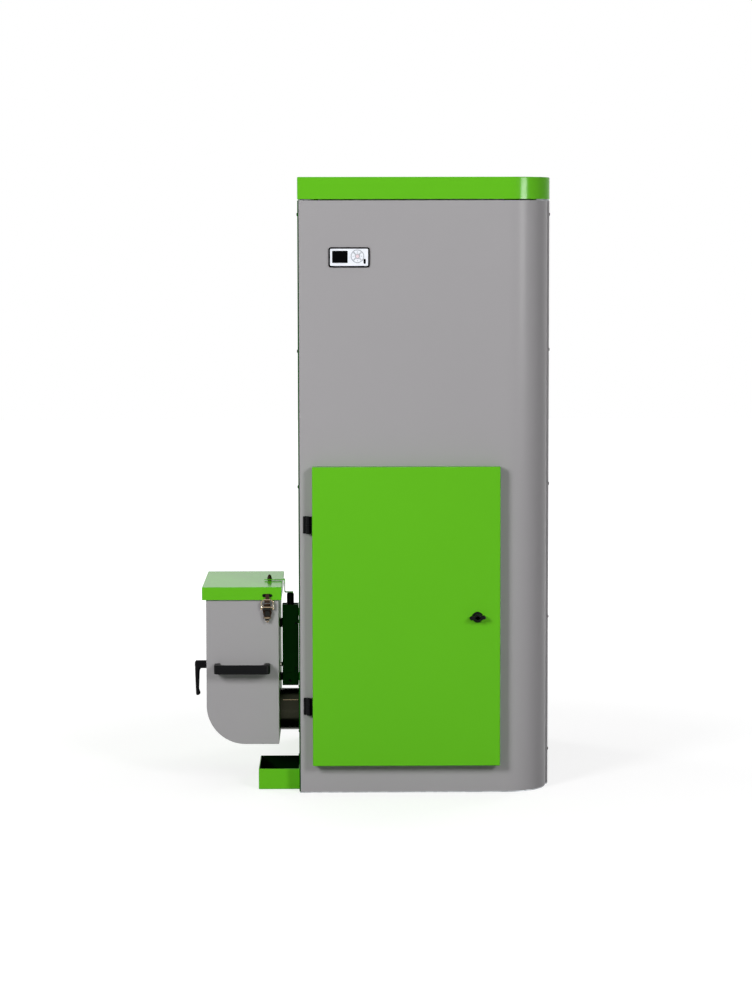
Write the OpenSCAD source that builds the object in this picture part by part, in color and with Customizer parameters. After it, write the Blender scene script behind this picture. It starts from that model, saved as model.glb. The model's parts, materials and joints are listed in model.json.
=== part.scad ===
// Free-standing pellet boiler with an ash bin hung on its left side.
// +X is to the right, +Y to the back, +Z up, in millimetres. The origin is the
// middle of the base plate's underside, on the floor.

/* [Cabinet] */
// Width over both side panels
cabinet_w = 606; // [590:1:660]
// Depth from the front panel to the rear panel
cabinet_d = 783; // [765:1:860]
// Height from the floor to the top of the cap
cabinet_h = 1478; // [1440:1:1600]
// Radius of the front right corner
corner_r = 100; // [70:1:105]
// Thickness of the cabinet's sheet metal
sheet_t = 1.5; // [1.2:0.1:2]
// Height of the green cap
cap_h = 52.5; // [40:0.5:70]
// Dark gap between the cap and the panels under it
cap_gap = 3; // [2:0.5:6]
// Thickness of the base plate
base_t = 3; // [2:0.5:5]
// Height of the panels' lower edge over the floor
floor_gap = 3; // [1:0.5:6]
// How far the left side panel stands out past the front panel
left_reveal = 3; // [2:0.5:5]
// How far the right side panel stands out past the front panel
right_reveal = 6; // [4:0.5:8]
// Seam between the front panel and the right side panel
seam_gap = 2; // [1:0.5:4]
// Width of the corner posts
post_w = 30; // [20:1:40]

/* [Front door] */
// Width of the green door
door_w = 449.4; // [430:0.1:460]
// Height of the green door
door_h = 719.6; // [690:0.1:740]
// How far the door stands out from the front panel
door_t = 35; // [30:0.5:45]
// Distance from the cabinet's left side to the door
door_inset = 33; // [30:0.5:40]
// Height of the door's lower edge over the floor
door_sill = 71.1; // [60:0.1:90]
// How far the door laps over its aperture on each side
door_lap = 13; // [8:0.5:20]
// Height of a door hinge
hinge_h = 41.5; // [30:0.5:60]
// Distance of each hinge from the door's ends
hinge_end = 119.8; // [80:0.1:160]
// Distance of the knob from the door's free edge
knob_inset = 54.9; // [45:0.1:60]
// Span of the knob's wings
knob_span = 39; // [34:0.5:50]

/* [Display] */
// Width of the display's frame
display_w = 97.9; // [90:0.1:120]
// Height of the display's frame
display_h = 47.9; // [46:0.1:60]
// Distance from the cabinet's left side to the display
display_inset = 73.9; // [60:0.1:100]
// Distance from the cabinet's top to the display
display_drop = 166; // [150:0.5:200]
// Radius of the round keypad
keypad_r = 15; // [13:0.5:17]
// Travel of a key
key_travel = 0.8; // [0.5:0.1:1]

/* [Ash bin] */
// Width of the ash bin's shell
bin_w = 176; // [160:1:200]
// Depth of the ash bin's shell
bin_d = 331; // [300:1:360]
// Height of the ash bin's underside over the floor
bin_sill = 108; // [95:1:115]
// Height of the ash bin's shell
bin_h = 383; // [364:1:404]
// Radius of the bin's lower outer corner
bin_corner_r = 95; // [70:1:110]
// Distance from the front panel's plane back to the bin
bin_setback = 66; // [50:1:80]
// Distance from the cabinet's side to the bin
bin_gap = 49.6; // [46:0.1:56]
// Height of the lid's sides
lid_h = 31.3; // [25:0.1:40]
// Width of the bridge handle
handle_w = 135.7; // [120:0.1:145]
// How far the bridge handle stands out
handle_out = 44; // [38:0.5:50]
// Height of the handle's middle over the floor
handle_z = 296.3; // [240:0.1:320]
// Length of the clamping lever's arm
lever_len = 77; // [60:1:90]
// Height of the clamp rod over the floor
clamp_z = 285; // [275:1:295]
// Radius of the clamp rod
clamp_r = 5; // [4:0.5:6]

/* [Bin bracket] */
// Width of the bracket's channel
bracket_w = 39.8; // [36:0.1:42]
// Depth of the bracket's channel
bracket_d = 44; // [38:1:50]
// Height of the bracket's top over the floor
bracket_top = 435; // [428:1:442]
// Height of the bracket's lower end over the floor
bracket_sill = 235; // [228:1:242]
// Radius of the switch plunger
plunger_r = 8.75; // [7:0.25:10]
// Travel of the switch plunger
plunger_travel = 6; // [4:0.5:8]

/* [Ash path] */
// Outer radius of the ash tube
ash_tube_r = 51.5; // [46:0.5:54]
// Wall of the ash tube
ash_tube_t = 3; // [2:0.5:4]
// Height of the ash auger's axis over the floor
ash_z = 173.4; // [168:0.1:177]
// Distance from the front panel's plane back to the ash auger's axis
ash_setback = 200; // [190:1:210]
// Lead of the ash auger's flight
ash_pitch = 70; // [55:1:90]
// Width of the floor tray
tray_w = 99.5; // [80:0.5:120]
// Depth of the floor tray
tray_d = 185; // [150:1:200]
// Height of the floor tray
tray_h = 50; // [40:1:60]

/* [Hopper and feed] */
// Depth of the pellet hopper
hopper_d = 250; // [220:1:255]
// Height over the floor at which the hopper starts to narrow
hopper_knee = 820; // [760:1:900]
// Thickness of the hopper's sheet
hopper_t = 2; // [1.5:0.1:3]
// Height of the feed auger's axis over the floor
feed_z = 520; // [500:1:540]
// Outer radius of the feed tube
feed_tube_r = 38; // [34:0.5:39]
// Wall of the feed tube
feed_tube_t = 3; // [2:0.5:4]
// Lead of the feed auger's flight
feed_pitch = 55; // [45:1:70]

/* [Boiler] */
// Distance from the front panel's plane back to the boiler
boiler_setback = 90; // [85:1:95]
// Distance from the cabinet's left side to the boiler
boiler_inset = 62; // [50:1:64]
// Width of the pipe bay on the boiler's right
pipe_bay = 106; // [100:1:110]
// Depth of the boiler
boiler_d = 340; // [335:1:345]
// Height of the water jacket's underside over the floor
jacket_sill = 240; // [235:1:250]
// Distance from the cabinet's top down to the water jacket
jacket_drop = 188; // [185:1:240]
// Thickness of the jacket's outer plates
outer_plate = 4; // [3:0.5:5]
// Thickness of the firebox's plates
fire_plate = 5; // [4:0.5:6]
// Width of the water space between the plates
water_gap = 30; // [25:1:32]
// Distance from the firebox doorway to the firebox's right wall
doorway_clear = 64; // [50:1:90]
// Height of the firebox doorway
doorway_h = 340; // [300:1:360]
// Radius of a flue tube's bore
flue_tube_r = 20; // [16:0.5:21]
// Thickness of the firebox door's plate
fire_door_t = 10; // [8:0.5:12]

/* [Exhaust and pipes] */
// Radius of the exhaust fan's scroll
scroll_r = 95; // [90:1:100]
// Width of the exhaust fan's scroll
scroll_w = 84; // [82:1:90]
// Radius of the exhaust fan's impeller
impeller_r = 72; // [60:1:80]
// Bore radius of the flue collar
flue_r = 48.5; // [44:0.5:50]
// How far the flue collar stands out of the rear panel
flue_out = 50; // [30:1:70]
// Bore radius of the combustion air pipe
air_r = 28.5; // [25:0.5:30]
// Outer radius of a water pipe
water_r = 14; // [12:0.5:15]
// Bore radius of a water connection
socket_r = 15.15; // [13:0.05:16]

/* [Hidden] */
$fn = 64;

// Overrun of every cut
over = 0.5;
// Radial clearance of a shaft that turns in a bore
running = 0.05;
// Gap between pieces that move past each other
slip = 0.3;

// Finishes
grey_paint = [0.62, 0.61, 0.62];
green_paint = [0.41, 0.73, 0.17];
dark_green_paint = [0.05, 0.2, 0.04];
black_plastic = [0.06, 0.06, 0.07];
bare_steel = [0.62, 0.63, 0.65];
dark_steel = [0.35, 0.35, 0.33];
cast_iron = [0.2, 0.2, 0.21];
brass = [0.78, 0.62, 0.3];
white_plastic = [0.93, 0.94, 0.97];
galvanised = [0.7, 0.72, 0.73];
board_green = [0.08, 0.35, 0.16];
dark_rubber = [0.12, 0.12, 0.12];

// Spans of the cabinet, each as [low, high]
cab_x = [-cabinet_w / 2, cabinet_w / 2];
cab_y = [-cabinet_d / 2, cabinet_d / 2];
panel_z = [floor_gap, cabinet_h - cap_h - cap_gap];
front_x = [cab_x[0] + left_reveal, cab_x[1] - right_reveal];
side_in_x = [cab_x[0] + sheet_t, cab_x[1] - sheet_t];
rear_in_y = cab_y[1] - sheet_t;
front_in_y = cab_y[0] + sheet_t;
corner_end_y = cab_y[0] + corner_r;
seam_y = corner_end_y + sheet_t + seam_gap;
return_d = 26;
hem_w = 14;
hem_slack = 0.2;
flange_w = 25;
cap_r_more = 4;

// Posts: the place of each one's outer corner, and which way its legs run
post_t = 2;
post_z = [base_t, cabinet_h - sheet_t];
post_spots = [
    [side_in_x[0], cab_y[0] + return_d, 1, 1],
    [side_in_x[0], rear_in_y, 1, -1],
    [side_in_x[1], seam_y + sheet_t, -1, 1],
    [side_in_x[1], rear_in_y, -1, -1]
];

// Side panel screws: five rows, one column at each post
screw_r = 2;
screw_hole_r = 2.2;
screw_head_r = 4;
screw_head_h = 2.4;
screw_len = 9;
screw_rows = 5;
screw_top = 88;
screw_low = 86;
screw_pitch = (cabinet_h - screw_top - screw_low) / (screw_rows - 1);
screw_edge = 15;

// Door and what it carries
door_gap = 1;
door_x = [cab_x[0] + door_inset, cab_x[0] + door_inset + door_w];
door_y = [cab_y[0] - door_t, cab_y[0] - door_gap];
door_z = [door_sill, door_sill + door_h];
hinge_out = 10;
hinge_off = 9;
hinge_axis = [door_x[0] - hinge_off, cab_y[0] - hinge_out];
hinge_zs = [door_z[0] + hinge_end, door_z[1] - hinge_end - hinge_h];
leaf_w = 13;
leaf_t = 3;
barrel_r = 6.5;
hinge_pin_r = 3;
pin_end = 2.5;
arm_t = 6;
arm_plate_t = 2;
arm_drop = 2.6;
liner_t = 1.2;
liner_h = 12;
spindle_r = 4;
knob_c = [door_x[1] - knob_inset, (door_z[0] + door_z[1]) / 2];
knob_base_r = 13;
knob_base_h = 7;
knob_out = 22;
knob_hub_r = 8.5;
wing_t = 9;
wing_tilt = 3;
cam_gap = 1;
cam_t = 4;
cam_w = 16;
cam_len = 52;

// Display and keypad
display_x = [cab_x[0] + display_inset, cab_x[0] + display_inset + display_w];
display_z = [cabinet_h - display_drop - display_h, cabinet_h - display_drop];
bezel_w = 3.5;
bezel_r = 6;
bezel_out = 4;
bezel_back = 8;
bezel_lip = 3;
cutout_gap = 0.3;
face_set = 1;
face_t = 2;
lcd_w = 36.9;
lcd_h = 28.8;
lcd_inset = 8.7;
ir_w = 5.4;
ir_h = 12;
ir_inset = 9.3;
ir_rise = 8.5;
window_gap = 0.05;
keypad_inset = 29;
keypad_rise = 26.4;
keypad_c = [display_x[1] - keypad_inset, display_z[0] + keypad_rise];
key_gap = 0.35;
key_hub_r = 5;
key_out = 0.4;
key_t = 2.6;
bezel_floor_t = 1.5;
board_t = 1.6;

// Ash bin
bin_x = [cab_x[0] - bin_gap - bin_w, cab_x[0] - bin_gap];
bin_y = [cab_y[0] + bin_setback, cab_y[0] + bin_setback + bin_d];
bin_z = [bin_sill, bin_sill + bin_h];
bin_t = 1.5;
lid_over_left = 9.6;
lid_over_right = 6.9;
lid_over_ends = 6;
lid_rise = 0.3;
lid_x = [bin_x[0] - lid_over_left, bin_x[1] + lid_over_right];
lid_y = [bin_y[0] - lid_over_ends, bin_y[1] + lid_over_ends];
lid_z = [bin_z[1] + lid_rise + bin_t - lid_h, bin_z[1] + lid_rise + bin_t];
lid_axis_drop = 4;
lid_axis_back = 6;
lid_axis = [lid_y[1] + lid_axis_back, lid_z[0] - lid_axis_drop];
lid_barrel_r = 5;
lid_pin_r = 2.5;
lid_knuckle = 26;
lid_leaf_t = 2;
lid_leaf_h = 20;
lid_hinge_shares = [0.2, 0.8];

// Clamp through the bin, and the bracket that it draws the bin to
clamp_y = cab_y[0] + ash_setback;
bracket_gap = 3.7;
bracket_x = [cab_x[0] - bracket_gap - bracket_w, cab_x[0] - bracket_gap];
bracket_y = [clamp_y - bracket_d / 2, clamp_y + bracket_d / 2];
bracket_z = [bracket_sill, bracket_top];
bracket_t = 2.5;
bracket_split = 37.5;
split_groove = 1;
sleeve_t = 4;
clamp_tip = 25;
hub_r = 10;
hub_len = 35;
hub_tip_r = 8;
arm_r = 6;
arm_tip_r = 7.5;
arm_cant = 12;
nut_w = 24;
guide_set = 3;
guide_t = 6;
plunger_out = 28.2;
plunger_tail = 32;
plunger_flange = 1.5;
plunger_flange_t = 3;
buffer_d = 30;
upper_buffer_h = 19;
upper_buffer_drop = 37;
lower_buffer_h = 16;
lower_buffer_rise = 11.5;
upper_buffer = [bracket_z[1] - upper_buffer_drop - upper_buffer_h, bracket_z[1] - upper_buffer_drop];
lower_buffer = [bracket_z[0] + lower_buffer_rise, bracket_z[0] + lower_buffer_rise + lower_buffer_h];

// Lid tab
tab_t = 2;
tab_w = 20;
tab_rise = 2.2;
tab_start = 45;
tab_drop_set = 36.2;
tab_drop_x = cab_x[0] - tab_drop_set;
tab_foot = 22;
tab_screw_set = 32;
tab_screw_r = 5;
tab_screw_h = 11;

// Bridge handle
handle_inset = 70.3;
handle_x = [cab_x[0] - handle_inset - handle_w, cab_x[0] - handle_inset];
handle_h = 23.8;
handle_foot = 20;
grip_r = 9;
grip_drop = 2.4;
foot_r = 5;

// Toggle latch on the bin's front
latch_inset = 77;
latch_x = cab_x[0] - latch_inset;
latch_drop = 30.5;
latch_z = lid_z[0] - latch_drop;
latch_out = 9;
link_rise = 12;
latch_pin_r = 1.5;
latch_base_w = 28;
latch_base_up = 21;
latch_base_down = 19;
latch_base_t = 2;
ear_x = 11;
ear_t = 1.5;
ear_r = 4.5;
lever_w = 17;
lever_t = 4;
lever_up = 5;
lever_down = 23;
ring_r = 4.5;
claw_x = 14.8;
claw_wire_r = 1.3;
claw_plate_w = 16;
claw_plate_t = 1.6;
claw_top = 59;
claw_neck = 40;
spring_low = 21;
spring_high = 39;
spring_r = 2.8;
spring_wire_r = 0.55;
spring_turns = 6;
spring_seat_t = 1.2;
keeper_w = 23.5;
keeper_h = 12;
keeper_rise = 5;
keeper_t = 1.6;
keeper_lip = 3.4;
keeper_lip_t = 2;
claw_gap = 1.2;
keeper_screw_r = 3;
keeper_screw_h = 1.8;

// Ash path
ash_y = cab_y[0] + ash_setback;
ash_bore_r = ash_tube_r - ash_tube_t;
ash_shaft_r = 10;
flight_gap = 3.5;
flight_angle = 20;
flight_step = 18;
tube_flange_rim = 9;
tube_flange_r = ash_tube_r + tube_flange_rim;
tube_flange_t = 3;
tray_t = 2;

// Boiler spans
boiler_x = [cab_x[0] + boiler_inset, cab_x[1] - pipe_bay];
boiler_y = [cab_y[0] + boiler_setback, cab_y[0] + boiler_setback + boiler_d];
jacket_z = [jacket_sill, cabinet_h - jacket_drop];
boiler_cx = (boiler_x[0] + boiler_x[1]) / 2;
wall = outer_plate + water_gap + fire_plate;
fire_floor = 6;
tube_row = 28;
tube_web = 38;
fire_x = shrink(boiler_x, wall);
fire_y = [boiler_y[0] + wall, boiler_y[1] - wall - tube_row * 2 - tube_web];
roof_h = 60;
turn_h = 120;
turn_z = [jacket_z[1] - roof_h - turn_h, jacket_z[1] - roof_h];
fire_z = [jacket_z[0] + fire_floor, turn_z[0] + over];
turn_y = [fire_y[0], boiler_y[1] - wall + fire_plate];
tube_y = boiler_y[1] - wall - tube_row;
tube_pitch = 47;
tube_first = 67;
tube_room = (boiler_x[1] - boiler_x[0]) / 2 - outer_plate - fire_plate - flue_tube_r;
tube_xs = [
    for (side = [-1, 1], i = [0:floor((tube_room - tube_first) / tube_pitch)])
    boiler_cx + side * (tube_first + i * tube_pitch)
];
doorway_inset = 20;
doorway_rise = 30;
doorway_x = [fire_x[0] + doorway_inset, fire_x[1] - doorway_clear];
doorway_z = [fire_z[0] + doorway_rise, fire_z[0] + doorway_rise + doorway_h];
hatch_inset = 30;
hatch_x = shrink(fire_x, hatch_inset);
hatch_y = shrink(turn_y, hatch_inset);
cover_lap = 20;
cover_t = 10;
cover_bolt_r = 7;
cover_bolt_h = 8;
rail_w = 40;
boiler_lift = 110;
skirt_t = 6;
trough_t = 5;
ash_slot_w = 80;
smoke_box_d = 104;
smoke_box_y = [boiler_y[1] - smoke_box_d, boiler_y[1]];
smoke_box_h = 100;
smoke_box_z = [jacket_z[0] - smoke_box_h, jacket_z[0]];
smoke_plate = 4;
smoke_exit_w = 72;
smoke_exit_h = 50;
air_drop = 190;
air_z = feed_z - air_drop;
air_t = 1.5;
nipple_set = 65;
nipple_y = boiler_y[1] - nipple_set;
flow_drop = 60;
flow_z = jacket_z[1] - flow_drop;
nipple_rise = 60;
return_z = jacket_z[0] + nipple_rise;

// Firebox door
fire_door_lap = 20;
fire_door_gap = 2;
fire_door_x = grow(doorway_x, fire_door_lap);
fire_door_z = grow(doorway_z, fire_door_lap);
fire_door_y = [boiler_y[0] - fire_door_gap - fire_door_t, boiler_y[0] - fire_door_gap];
plug_gap = 6;
plug_d = 25;
fire_axis_out = 8;
fire_axis_off = 8;
fire_axis = [fire_door_x[0] - fire_axis_off, boiler_y[0] - fire_axis_out];
lug_r = 6.5;
lug_h = 20;
knuckle_h = 28;
fire_pin_r = 4;
fire_hinge_end = 50;
fire_handle_inset = 30;
fire_handle_c = [fire_door_x[1] - fire_handle_inset, (fire_door_z[0] + fire_door_z[1]) / 2];
tongue_w = 14;
tongue_t = 6;
tongue_len = 50;
tongue_gap = 5;
keeper_gap = 6;
fire_keeper_w = 24;
fire_keeper_h = 30;
fire_keeper_slot = 18;
fire_keeper_lip = 6;
fire_spindle_r = 6;
fire_hub_r = 12;
fire_grip_r = 8;
fire_grip_len = 90;
fire_grip_t = 14;
grip_gap = 2;

// Burner pot
burner_set = 61;
burner_y = fire_y[1] - burner_set;
pot_r = 48;
pot_t = 4;
pot_h = 70;
pot_holes = 12;
pot_hole_r = 3;
burner_box_w = 120;
burner_box_h = 90;
burner_lift = 40;
burner_z = [fire_z[0] + burner_lift, fire_z[0] + burner_lift + burner_box_h];

// Hopper, its lid and the feed
lid_edge_gap = 3;
lid_pan_h = 20;
hopper_back = 20;
hopper_y = [boiler_y[1] + hopper_back, boiler_y[1] + hopper_back + hopper_d];
hopper_half = 235;
hopper_x = [boiler_cx - hopper_half, boiler_cx + hopper_half];
hopper_drop = 10;
hopper_top = cabinet_h - hopper_drop;
neck_half = 30;
neck_end = 20;
neck_lift = 24;
neck_z = feed_z + neck_lift;
neck_h = 30;
hatch_lip = 10;
hopper_lid_x = grow(hopper_x, hatch_lip);
lid_back = 20;
hopper_lid_y = [hopper_y[0] - hatch_lip, hopper_y[1] + lid_back];
hopper_axis = [hopper_lid_y[1] + lid_barrel_r, cabinet_h - lid_barrel_r];
lid_knuckle_w = 40;
knuckle_seat_h = 3;
notch_r = 22;
seal_w = 8;
seal_slack = 0.3;
seal_h = hopper_drop - sheet_t - seal_slack;
feed_bore_r = feed_tube_r - feed_tube_t;
feed_reach = 56;
feed_tail = 12;
feed_y = [fire_y[1] - feed_reach, hopper_y[1] + feed_tail];
feed_shaft_r = 9;
motor_shaft_r = 6;
motor_d = 56;
motor_w = 78;
shaft_in = 18;

// Exhaust
fan_setback = 560;
fan_y = cab_y[0] + fan_setback;
fan_z = 200;
scroll_t = 2;
smoke_duct_w = 96;
smoke_duct_t = 2;
smoke_duct_end = 50;
smoke_duct_h = 140;
smoke_duct_z = [fan_z - smoke_duct_h / 2, fan_z + smoke_duct_h / 2];
smoke_duct_x = [boiler_cx - smoke_duct_w / 2, boiler_cx + smoke_duct_w / 2];
scroll_x = [smoke_duct_x[1], smoke_duct_x[1] + scroll_w];
outlet_h = 104;
outlet_run = 115;
outlet_low = 17;
outlet_z = [fan_z - outlet_low, fan_z - outlet_low + outlet_h];
fan_inlet_r = 50;
fan_motor_r = 40;
fan_motor_len = 76;
fan_shaft_r = 4;
impeller_t = 2;
impeller_w = 46;
impeller_gap = 8;
impeller_hub_r = 14;
impeller_hub_gap = 1.2;
blade_count = 10;
blade_t = 2;
blade_in = 26;
collar_t = 1.5;
collar_plate_t = 3;
collar_plate_lap = 1;

// Pipes, pump and inlet
pipe_side = 56;
pipe_x = cab_x[1] - pipe_side;
pipe_t = 1.5;
elbow_half = 21;
elbow_t = 3;
pipe_out = 34;
air_out = 22;
socket_t = 4.5;
socket_len = 28;
pump_set = 95;
pump_y = rear_in_y - pump_set;
pump_r = 40;
pump_w = 34;
pump_motor_r = 34;
pump_motor_len = 70;
pipe_join = 10;
inlet_w = 48;
inlet_h = 27;
inlet_flange = 5;
inlet_set = 120;
inlet_x = cab_x[0] + inlet_set;
inlet_drop = 298;
inlet_z = cabinet_h - inlet_drop;
inlet_deep = 22;
inlet_t = 2;
blade_w = 2;
blade_h = 6;
blade_pitch = 7;
blade_step = 4;
vent_count = 9;
vent_w = 70;
vent_h = 5;
vent_pitch = 14;
vent_z = 60;
vent_share = 0.25;

function shrink(span, by) = [span[0] + by, span[1] - by];
function grow(span, by) = [span[0] - by, span[1] + by];
function mid(span) = (span[0] + span[1]) / 2;

// A box given by its spans along x, y and z
module block(xs, ys, zs)
    translate([xs[0], ys[0], zs[0]]) cube([xs[1] - xs[0], ys[1] - ys[0], zs[1] - zs[0]]);

// Round bars along each axis
module rod_x(xs, y, z, r) translate([xs[0], y, z]) rotate([0, 90, 0]) cylinder(h = xs[1] - xs[0], r = r);
module rod_y(x, ys, z, r) translate([x, ys[0], z]) rotate([-90, 0, 0]) cylinder(h = ys[1] - ys[0], r = r);
module rod_z(x, y, zs, r) translate([x, y, zs[0]]) cylinder(h = zs[1] - zs[0], r = r);

// A flat outline in x and z, or in y and z, given a thickness along the third axis
module plate_y(ys)
    translate([0, ys[1], 0]) rotate([90, 0, 0]) linear_extrude(height = ys[1] - ys[0]) children();
module plate_x(xs)
    translate([xs[0], 0, 0]) rotate([90, 0, 90]) linear_extrude(height = xs[1] - xs[0]) children();

module area(us, vs) translate([us[0], vs[0]]) square([us[1] - us[0], vs[1] - vs[0]]);

// A rectangle with four round corners
module round_area(us, vs, r) {
    area(us, shrink(vs, r));
    area(shrink(us, r), vs);
    for (u = shrink(us, r), v = shrink(vs, r)) translate([u, v]) circle(r = r);
}

// A bar with round ends
module pill(length, width) {
    area([-(length - width) / 2, (length - width) / 2], [-width / 2, width / 2]);
    for (side = [-1, 1]) translate([side * (length - width) / 2, 0]) circle(r = width / 2);
}

// Plan of the cabinet: square corners but for the round one at the front right
module corner_plan(xs, ys, r) {
    area([xs[0], xs[1] - r], ys);
    area(xs, [ys[0] + r, ys[1]]);
    intersection() {
        translate([xs[1] - r, ys[0] + r]) circle(r = r);
        area([xs[1] - r, xs[1]], [ys[0], ys[0] + r]);
    }
}

// Outline of the bin: square corners but for the round one at the lower left
module bin_outline(xs, zs, r) {
    area([xs[0] + r, xs[1]], zs);
    area(xs, [zs[0] + r, zs[1]]);
    intersection() {
        translate([xs[0] + r, zs[0] + r]) circle(r = r);
        area([xs[0], xs[0] + r], [zs[0], zs[0] + r]);
    }
}

// A helical flight from z = 0 up, as a wedge of the circle that turns as it climbs
module flight(length, r, pitch)
    linear_extrude(
        height = length,
        twist = -360 * length / pitch,
        slices = ceil(length / pitch * flight_step),
        segments = 3
    )
        polygon([
            [0, 0],
            r * [cos(-flight_angle / 2), sin(-flight_angle / 2)],
            r * [cos(flight_angle / 2), sin(flight_angle / 2)]
        ]);

// A coil of round wire up the z axis
function coil_ring(t, height) = let (a = 360 * spring_turns * t)
    [spring_r * cos(a), spring_r * sin(a), height * t];
module coil(height) {
    rings = 8 * spring_turns;
    sides = 6;
    rise = height / spring_turns;
    points = [
        for (i = [0:rings]) let (
            t = i / rings,
            a = 360 * spring_turns * t,
            c = coil_ring(t, height),
            out = [cos(a), sin(a), 0],
            slope = atan2(rise, 2 * PI * spring_r),
            up = [sin(a) * sin(slope), -cos(a) * sin(slope), cos(slope)]
        )
        for (k = [0:sides - 1]) let (b = 360 * k / sides)
        c + spring_wire_r * (cos(b) * out + sin(b) * up)
    ];
    skins = [
        for (i = [0:rings - 1], k = [0:sides - 1]) let (
            a = i * sides + k,
            b = i * sides + (k + 1) % sides
        )
        each [[a, b + sides, a + sides], [a, b, b + sides]]
    ];
    ends = [[for (k = [sides - 1:-1:0]) k], [for (k = [0:sides - 1]) rings * sides + k]];
    polyhedron(points = points, faces = concat(skins, ends));
}

// Least gap of a coil to itself: between ring centres at least half a turn apart, less the wire
function coil_gap(height) = let (rings = 8 * spring_turns) min([
    for (i = [0:rings], j = [i + 4:1:rings])
    norm(coil_ring(i / rings, height) - coil_ring(j / rings, height))
]) - spring_wire_r * 2;
echo(str("claw spring's least gap to itself, mm: ", coil_gap(spring_high - spring_low)));

// Base plate with the two channels that carry the boiler
module base_pan() color(galvanised) {
    linear_extrude(height = base_t) {
        corner_plan(
            [side_in_x[0], front_x[1] - sheet_t],
            [front_in_y, rear_in_y],
            corner_r - sheet_t
        );
        area([mid(cab_x), side_in_x[1]], [seam_y + sheet_t, rear_in_y]);
    }
    for (x0 = [boiler_x[0], boiler_x[1] - rail_w]) difference() {
        block([x0, x0 + rail_w], boiler_y, [base_t - over, boiler_lift]);
        block(
            shrink([x0, x0 + rail_w], sheet_t * 2),
            grow(boiler_y, over),
            [base_t, boiler_lift - sheet_t * 2]
        );
    }
}

// The rows of holes or screws at one post, at their places along x
module screw_rows(xs, y, r)
    for (i = [0:screw_rows - 1]) rod_x(xs, y, screw_low + i * screw_pitch, r);

function post_screw_y(spot) = spot[1] + spot[3] * screw_edge;

module frame_posts() color(galvanised) for (spot = post_spots) difference() {
    for (leg = [[post_t, post_w], [post_w, post_t]])
        block(
            [min(spot[0], spot[0] + spot[2] * leg[0]), max(spot[0], spot[0] + spot[2] * leg[0])],
            [min(spot[1], spot[1] + spot[3] * leg[1]), max(spot[1], spot[1] + spot[3] * leg[1])],
            post_z
        );
    screw_rows([spot[0] - post_t * 2, spot[0] + post_t * 2], post_screw_y(spot), screw_hole_r);
}

module side_screws() color(dark_steel) for (spot = post_spots) {
    face = spot[0] - spot[2] * sheet_t;
    inner = face + spot[2] * screw_len;
    outer = face - spot[2] * screw_head_h;
    screw_rows([min(face, inner), max(face, inner)], post_screw_y(spot), screw_r);
    screw_rows([min(face, outer), max(face, outer)], post_screw_y(spot), screw_head_r);
}

module front_panel() color(grey_paint) difference() {
    translate([0, 0, panel_z[0]]) linear_extrude(height = panel_z[1] - panel_z[0]) {
        difference() {
            corner_plan(front_x, [cab_y[0], corner_end_y + sheet_t], corner_r);
            corner_plan(
                shrink(front_x, sheet_t),
                [front_in_y, corner_end_y + sheet_t + over],
                corner_r - sheet_t
            );
            area([front_x[0] - over, front_x[0] + sheet_t + over], [cab_y[0] + return_d, seam_y]);
        }
        area([front_x[1] - flange_w, front_x[1] - sheet_t / 2], [corner_end_y, corner_end_y + sheet_t]);
    }
    block(shrink(door_x, door_lap), [cab_y[0] - over, cab_y[0] + return_d], shrink(door_z, door_lap));
    block(
        grow(shrink(display_x, bezel_lip), cutout_gap),
        grow([cab_y[0], front_in_y], over),
        grow(shrink(display_z, bezel_lip), cutout_gap)
    );
}

module left_side_panel() color(green_paint) difference() {
    union() {
        block([cab_x[0], side_in_x[0]], [front_in_y, rear_in_y], panel_z);
        block([cab_x[0], front_x[0] - hem_slack], [front_in_y, front_in_y + hem_w], panel_z);
    }
    rod_x(grow([cab_x[0], side_in_x[0]], over), ash_y, ash_z, ash_tube_r + slip);
    for (spot = [post_spots[0], post_spots[1]])
        screw_rows(grow([cab_x[0], side_in_x[0]], over), post_screw_y(spot), screw_hole_r);
}

module right_side_panel() color(grey_paint) difference() {
    union() {
        block([side_in_x[1], cab_x[1]], [seam_y, rear_in_y], panel_z);
        block([cab_x[1] - flange_w, cab_x[1]], [seam_y, seam_y + sheet_t], panel_z);
    }
    for (spot = [post_spots[2], post_spots[3]])
        screw_rows(grow([side_in_x[1], cab_x[1]], over), post_screw_y(spot), screw_hole_r);
}

module rear_panel() color(galvanised) difference() {
    block(cab_x, [rear_in_y, cab_y[1]], panel_z);
    rod_y(mid(scroll_x), grow([rear_in_y, cab_y[1]], over), mid(outlet_z), flue_r + collar_t + slip);
    rod_y(boiler_cx, grow([rear_in_y, cab_y[1]], over), air_z, air_r + air_t + slip);
    for (z = [flow_z, return_z]) rod_y(pipe_x, grow([rear_in_y, cab_y[1]], over), z, water_r + slip);
    block(
        grow([inlet_x, inlet_x + inlet_w], slip),
        grow([rear_in_y, cab_y[1]], over),
        grow([inlet_z, inlet_z + inlet_h], slip)
    );
    for (side = [-1, 1], i = [0:vent_count - 1])
        plate_y(grow([rear_in_y, cab_y[1]], over))
            translate([side * cabinet_w * vent_share, vent_z + i * vent_pitch]) pill(vent_w, vent_h);
    for (side = [-1, 1], i = [0:vent_count - 1])
        plate_y(grow([rear_in_y, cab_y[1]], over))
            translate([side * cabinet_w * vent_share, panel_z[1] - vent_z - i * vent_pitch])
                pill(vent_w, vent_h);
}

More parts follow.
